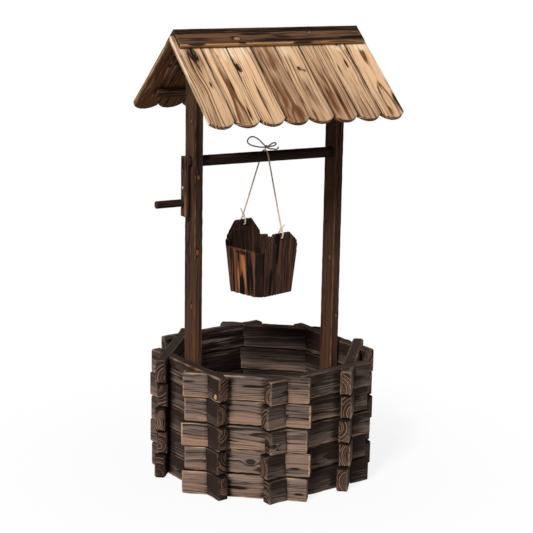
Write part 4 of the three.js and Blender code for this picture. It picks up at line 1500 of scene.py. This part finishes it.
class WELL_OT_rope(bpy.types.Operator):
    """Build the rope over the roller, its two legs, the ties and the bow"""

    bl_idname = "well.rope"
    bl_label = "Rope"

    def execute(self, context):
        rope = context.scene.well_rope
        roller_low, roller_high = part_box("roller")
        wrap = (roller_high.z - roller_low.z) / 2 + rope.stand_off + rope.diameter / 2

        knots = {name: self.tie(rope, context.scene.well_bucket, name) for name in ("front", "back")}
        ends = {name: knot + UP * (rope.knot_diameter / 2 + KNOT_ROOM) for name, knot in knots.items()}
        meets = {name: self.meeting(end, wrap) for name, end in ends.items()}
        arc = np.linspace(meets["front"], math.pi - meets["back"], 33)
        share_over = (arc - arc[0]) / (arc[-1] - arc[0])
        over = AXIS + np.stack([
            rope.off_axis + rope.wrap_shift * (0.5 - share_over), -wrap * np.cos(arc), wrap * np.sin(arc),
        ], axis=-1)

        legs = {}
        for name, end, contact in (("front", ends["front"], over[0]), ("back", ends["back"], over[-1])):
            part = (contact[2] - AXIS[2]) / (contact[2] - end[2])
            level = contact + (end - contact) * part
            legs[name] = (level, end)
        front, back = legs["front"][0], legs["back"][0]
        path = np.concatenate([np.linspace(front, over[0], 4)[:-1], over, np.linspace(over[-1], back, 4)[1:]])
        bow = self.bow(rope, wrap)
        crossing = self.strand("rope_over_roller", path, rope, "hanging_rope", ["rope"])
        self.declare(crossing, path, rope, "object", [bow])
        travel = joint_limits["bucket_lift"]["range_m"][1]
        for name, (level, end) in legs.items():
            route = np.linspace(level, end, 30)
            leg = self.strand(f"rope_leg_{name}", route, rope, "hanging_rope", ["rope"])
            keep = 1 - travel / (level[2] - end[2])
            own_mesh(leg)
            self.declare(leg, route, rope, "knot", [bpy.data.objects[f"tie_{name}"]])
        return {"FINISHED"}

    def declare(self, piece, path, rope, far_end, pieces):
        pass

    def meeting(self, end, wrap):
        """The angle above level at which a straight leg meets the round of the roller."""
        aside, down = abs(end[1] - AXIS[1]), AXIS[2] - end[2]
        return math.acos(wrap / math.hypot(aside, down)) - math.atan2(down, aside)

    def strand(self, name, path, rope, body, nodes):
        points, faces, marks = rope_surface(path, rope, sides=24)
        return closed_piece(name, points, faces, "rope", body, nodes, marks)

    def tie(self, rope, bucket, name):
        """A tie: a loop through the hole and over the stave's top into a knot, with a short tail."""
        ring = StaveRing(bucket)
        side = -1 if name == "front" else 1
        top = ring.top(name)
        slack = (bucket.hole_diameter - rope.diameter) / 2 - HAIR
        hole = top - bucket.hole_drop + slack
        halfway, over = (hole + top) / 2, top + ROPE_ROOM
        out = bucket.stave_thickness / 2 + rope.diameter / 2 + ROPE_ROOM

        def stave_middle(height):
            return ring.across("depth", height) - bucket.stave_thickness / 2

        knot = np.array([0, side * stave_middle(top), top + rope.knot_rise + rope.knot_diameter / 2])
        route = (
            (over, 1), (halfway, 1.05), (hole, 0.8), (hole, 0), (hole, -0.8), (halfway, -1.05), (over, -1),
        )
        loop = [(0, side * (stave_middle(height) + out * share_out), height) for height, share_out in route]
        aim = np.array([0.009, -0.004, 0.012] if name == "front" else [-0.006, 0.004, 0.019])
        tail = [knot, knot + aim * (0.4, 0.4, 0.45), knot + aim]
        parts = [
            rope_surface(smooth_path([knot, *loop, knot], 110), rope),
            rope_surface(smooth_path(tail, 24), rope, share=0.8),
            knot_surface(knot, rope.knot_diameter / 2, rope),
        ]
        joined_piece(f"tie_{name}", parts, ring.put, "rope_ties", [f"rope_tie_{name}"])
        return ring.put(knot)

    def bow(self, rope, wrap):
        """The bow on the roller: two loops and a tail that leave one knot."""
        knot = AXIS + UP * (wrap + rope.diameter / 2 + HAIR + rope.bow_knot / 2)
        parts = [rope_surface(smooth_path(np.array(route) / 1000, steps), rope) for steps, route in BOW]
        parts.append(knot_surface(np.zeros(3), rope.bow_knot / 2, rope))
        # The bow is made darker than the rope below it
        for _, _, marks in parts:
            marks["finish"][:, 0] += rope.bow_darkening
        return joined_piece("bow_of_rope", parts, lambda points: points + knot, "windlass", ["rope_bow"])


def smooth_path(places, steps):
    """A smooth curve through places: cubic pieces whose slopes follow the neighbours (Catmull-Rom)."""
    places = np.asarray(places, float)
    padded = np.concatenate([[2 * places[0] - places[1]], places, [2 * places[-1] - places[-2]]])
    where = np.linspace(0, len(places) - 1, steps)
    index = np.minimum(where.astype(int), len(places) - 2)
    part = (where - index)[:, None]
    a, b, c, d = (padded[index + k] for k in range(4))
    squared, cubed = 2 * a - 5 * b + 4 * c - d, 3 * b - 3 * c + d - a
    return 0.5 * (2 * b + (c - a) * part + squared * part ** 2 + cubed * part ** 3)


# Length of rope between two rounds of points, and how deep the grooves are for the rope's radius
ROPE_STEP, GROOVE = 0.0009, 0.24


def rope_surface(path, rope, sides=20, share=1.0):
    """Twisted rope along a path: the outline of three strands, turning once in each lay.

    The outline's radius is 1 less a dip of the form 1 - |cos 1.5 a|. It is carried along with a
    frame that turns no more than the path does. share is its thickness in the rope's own.
    """
    steps = np.linalg.norm(np.diff(path, axis=0), axis=1)
    run = np.concatenate([[0], np.cumsum(steps)])
    count = max(len(path), int(run[-1] / ROPE_STEP))
    place = np.linspace(0, run[-1], count)
    points = np.column_stack([np.interp(place, run, path[:, k]) for k in range(3)])
    tangent = np.gradient(points, axis=0)
    tangent /= np.linalg.norm(tangent, axis=1, keepdims=True)
    side = np.cross(tangent[0], UP if abs(tangent[0, 2]) < 0.9 else (1.0, 0, 0))
    sides_of = [side / np.linalg.norm(side)]
    for direction in tangent[1:]:
        side = sides_of[-1] - direction * (sides_of[-1] @ direction)
        sides_of.append(side / np.linalg.norm(side))
    first = np.array(sides_of)
    second = np.cross(tangent, first)
    angle = circle(sides)[None, :]
    strand = 1.5 * (angle - 2 * math.pi * place[:, None] / rope.lay)
    dip = 1 - np.abs(np.cos(strand))
    reach = (rope.diameter * share / 2 * (1 - GROOVE * dip))[..., None]
    grid = points[:, None] + reach * (
        np.cos(angle)[..., None] * first[:, None] + np.sin(angle)[..., None] * second[:, None]
    )
    grain = np.broadcast_arrays(strand * 0.02, np.cos(strand), place[:, None] * 60)
    # finish holds the depth of the grooves, which the jute turns into painted shade
    marks = {"grain": grain, "finish": [dip, dip * 0, dip * 0]}
    marks = {key: np.stack(values, axis=-1).reshape(-1, 3) for key, values in marks.items()}
    return grid.reshape(-1, 3), capped_tube(count, sides), marks


def knot_surface(middle, radius, rope):
    """A knot: a few turns of rope, wound as a coil that is nearly a ball."""
    turns = 2.6
    share_along = np.linspace(0, 1, 150)
    angle = 2 * math.pi * turns * share_along
    drop = np.cos(math.pi * share_along)
    wide = (radius - rope.diameter * 0.42) * (0.55 + 0.45 * np.sin(math.pi * share_along))
    path = (wide * np.cos(angle), wide * np.sin(angle) * 0.9, drop * (radius - rope.diameter * 0.45))
    return rope_surface(np.stack(path, axis=-1) + middle, rope, sides=16, share=0.84)


def joined_piece(name, parts, put, body, nodes):
    """Several closed surfaces as one piece, whose places put brings into the row frame."""
    start, points, faces = 0, [], []
    marks = {"grain": [], "finish": []}
    for part_points, part_faces, part_marks in parts:
        points.append(part_points)
        faces += [[start + i for i in face] for face in part_faces]
        start += len(part_points)
        for key, vectors in part_marks.items():
            marks[key].append(vectors)
    marks = {key: np.concatenate(vectors) for key, vectors in marks.items()}
    return closed_piece(name, put(np.concatenate(points)), faces, "rope", body, nodes, marks)


# Stage


class WELL_OT_stage(bpy.types.Operator):
    """Set up the camera, the lamps, the pale floor and the light from all round"""

    bl_idname = "well.stage"
    bl_label = "Stage"

    def execute(self, context):
        stage = context.scene.well_stage
        scene = context.scene
        scene.view_settings.view_transform = "Standard"
        self.camera(scene, stage)
        self.lamp("Key", stage.key, (-0.76, -0.5, 0.72), 14)
        self.lamp("Fill", stage.fill, (0.3, -0.9, 0.25), 50)
        self.floor()
        self.world(scene, stage)
        return {"FINISHED"}

    def camera(self, scene, stage):
        azimuth, elevation, roll = stage.azimuth, stage.elevation, stage.roll
        aside, behind = math.sin(azimuth) * math.cos(elevation), -math.cos(azimuth) * math.cos(elevation)
        back = np.array([aside, behind, math.sin(elevation)])
        level = np.cross(-back, UP)
        level /= np.linalg.norm(level)
        upright = np.cross(level, -back)
        right = math.cos(roll) * level + math.sin(roll) * upright
        up = -math.sin(roll) * level + math.cos(roll) * upright
        place = WELL_MIDDLE + UP * stage.aim_height + right * stage.aim_aside + back * stage.distance
        data = bpy.data.cameras.new("Camera")
        data.lens = stage.lens
        data.sensor_width = 36
        data.clip_end = 50
        scene.camera = in_scene("Camera", data)
        scene.camera.matrix_world = matrix_of(right, up, back, place)

    def lamp(self, name, strength, toward, softness):
        """A soft sun that shines from a direction."""
        data = bpy.data.lights.new(name, "SUN")
        data.energy = strength
        data.angle = math.radians(softness)
        back = np.array(toward, float) / np.linalg.norm(toward)
        right = np.cross(UP, back)
        right /= np.linalg.norm(right)
        in_scene(name, data).matrix_world = matrix_of(right, np.cross(back, right), back, np.zeros(3))

    def floor(self):
        """A wide pale disc that the camera sees as white apart from the object's shadow."""
        radius, rings, sides = 6.0, 12, 96
        reach = np.linspace(0.02, 1, rings)[:, None] * radius
        angle = circle(sides)[None, :]
        grid = np.stack(np.broadcast_arrays(reach * np.cos(angle), reach * np.sin(angle), -0.0005), axis=-1)
        mesh = bpy.data.meshes.new("floor")
        faces = tube_faces(rings, sides) + [list(range(sides))[::-1]]
        mesh.from_pydata(grid.reshape(-1, 3).tolist(), [], faces)
        paint = new_paint("Pale floor")
        seen = seen_directly(paint)
        place = paint.out(paint.node("ShaderNodeTexCoord"), "Object")
        length_of = paint.node("ShaderNodeVectorMath", {"operation": "LENGTH"}, {"Vector": place})
        far = paint.step(paint.out(length_of, "Value"), 0.25, 1.0)
        pale = paint.node("ShaderNodeBsdfDiffuse", inputs={"Color": paint.mix(seen, (0.42,) * 3, (1.0,) * 3)})
        white = paint.node("ShaderNodeEmission", inputs={"Color": (1, 1, 1, 1), "Strength": 1.0})
        both = paint.node("ShaderNodeMixShader", inputs={"Fac": seen * (far * 0.14 + 0.86)})
        paint.tree.links.new(pale.outputs[0], both.inputs[1])
        paint.tree.links.new(white.outputs[0], both.inputs[2])
        paint.node("ShaderNodeOutputMaterial", inputs={"Surface": paint.out(both)})
        mesh.materials.append(paint.owner)
        floor = in_scene("floor", mesh)

    def world(self, scene, stage):
        """White to the camera, and a weaker light from all round on the well."""
        scene.world = bpy.data.worlds.new("Studio")
        paint = Paint(scene.world)
        strength = seen_directly(paint) * (1.0 - stage.sky) + stage.sky
        sky = paint.node("ShaderNodeBackground", inputs={"Color": (1, 1, 1, 1), "Strength": strength})
        paint.node("ShaderNodeOutputWorld", inputs={"Surface": paint.out(sky)})


def matrix_of(right, up, back, place):
    """Where a camera or lamp is and how it is turned."""
    rows = [[*row, at] for row, at in zip(np.array([right, up, back]).T, place)]
    return Matrix([*rows, [0, 0, 0, 1]])


def seen_directly(paint):
    """1 for what the camera sees, by itself, in gloss or through glass."""
    rays = paint.node("ShaderNodeLightPath")
    seen = paint.out(rays, "Is Camera Ray") + paint.out(rays, "Is Glossy Ray")
    return paint.clamp(seen + paint.out(rays, "Is Transmission Ray"))


class WELL_PT_panel(bpy.types.Panel):
    """The well's steps in the sidebar"""

    bl_label = "Wishing Well Planter"
    bl_idname = "WELL_PT_panel"
    bl_space_type = "VIEW_3D"
    bl_region_type = "UI"
    bl_category = "Well"

    def draw(self, context):
        for operator in OPERATORS:
            self.layout.operator(operator.bl_idname)
        for name in GROUPS:
            group = getattr(context.scene, name)
            box = self.layout.box()
            for key in group.bl_rna.properties.keys():
                if key not in ("rna_type", "name"):
                    box.prop(group, key)


GROUPS = {
    "well_wall": WellWall,
    "well_roof": WellRoof,
    "well_posts": WellPosts,
    "well_bucket": WellBucket,
    "well_rope": WellRope,
    "well_colours": WellColours,
    "well_stage": WellStage,
}
OPERATORS = (
    WELL_OT_stage, WELL_OT_rope, WELL_OT_wall, WELL_OT_posts, WELL_OT_roof, WELL_OT_crank, WELL_OT_bucket,
)
CLASSES = (*GROUPS.values(), *OPERATORS, WELL_PT_panel)


def register():
    for cls in CLASSES:
        bpy.utils.register_class(cls)
    for name, group in GROUPS.items():
        setattr(bpy.types.Scene, name, PointerProperty(type=group))


def unregister():
    for name in GROUPS:
        delattr(bpy.types.Scene, name)
    for cls in reversed(CLASSES):
        bpy.utils.unregister_class(cls)


def main():
    register()
    materials.update(make_materials(bpy.context.scene.well_colours))
    bpy.ops.well.stage()
    bpy.ops.well.rope()
    bpy.ops.well.wall()
    bpy.ops.well.posts()
    bpy.ops.well.roof()
    bpy.ops.well.crank()
    bpy.ops.well.bucket()


if __name__ == "__main__":
    main()
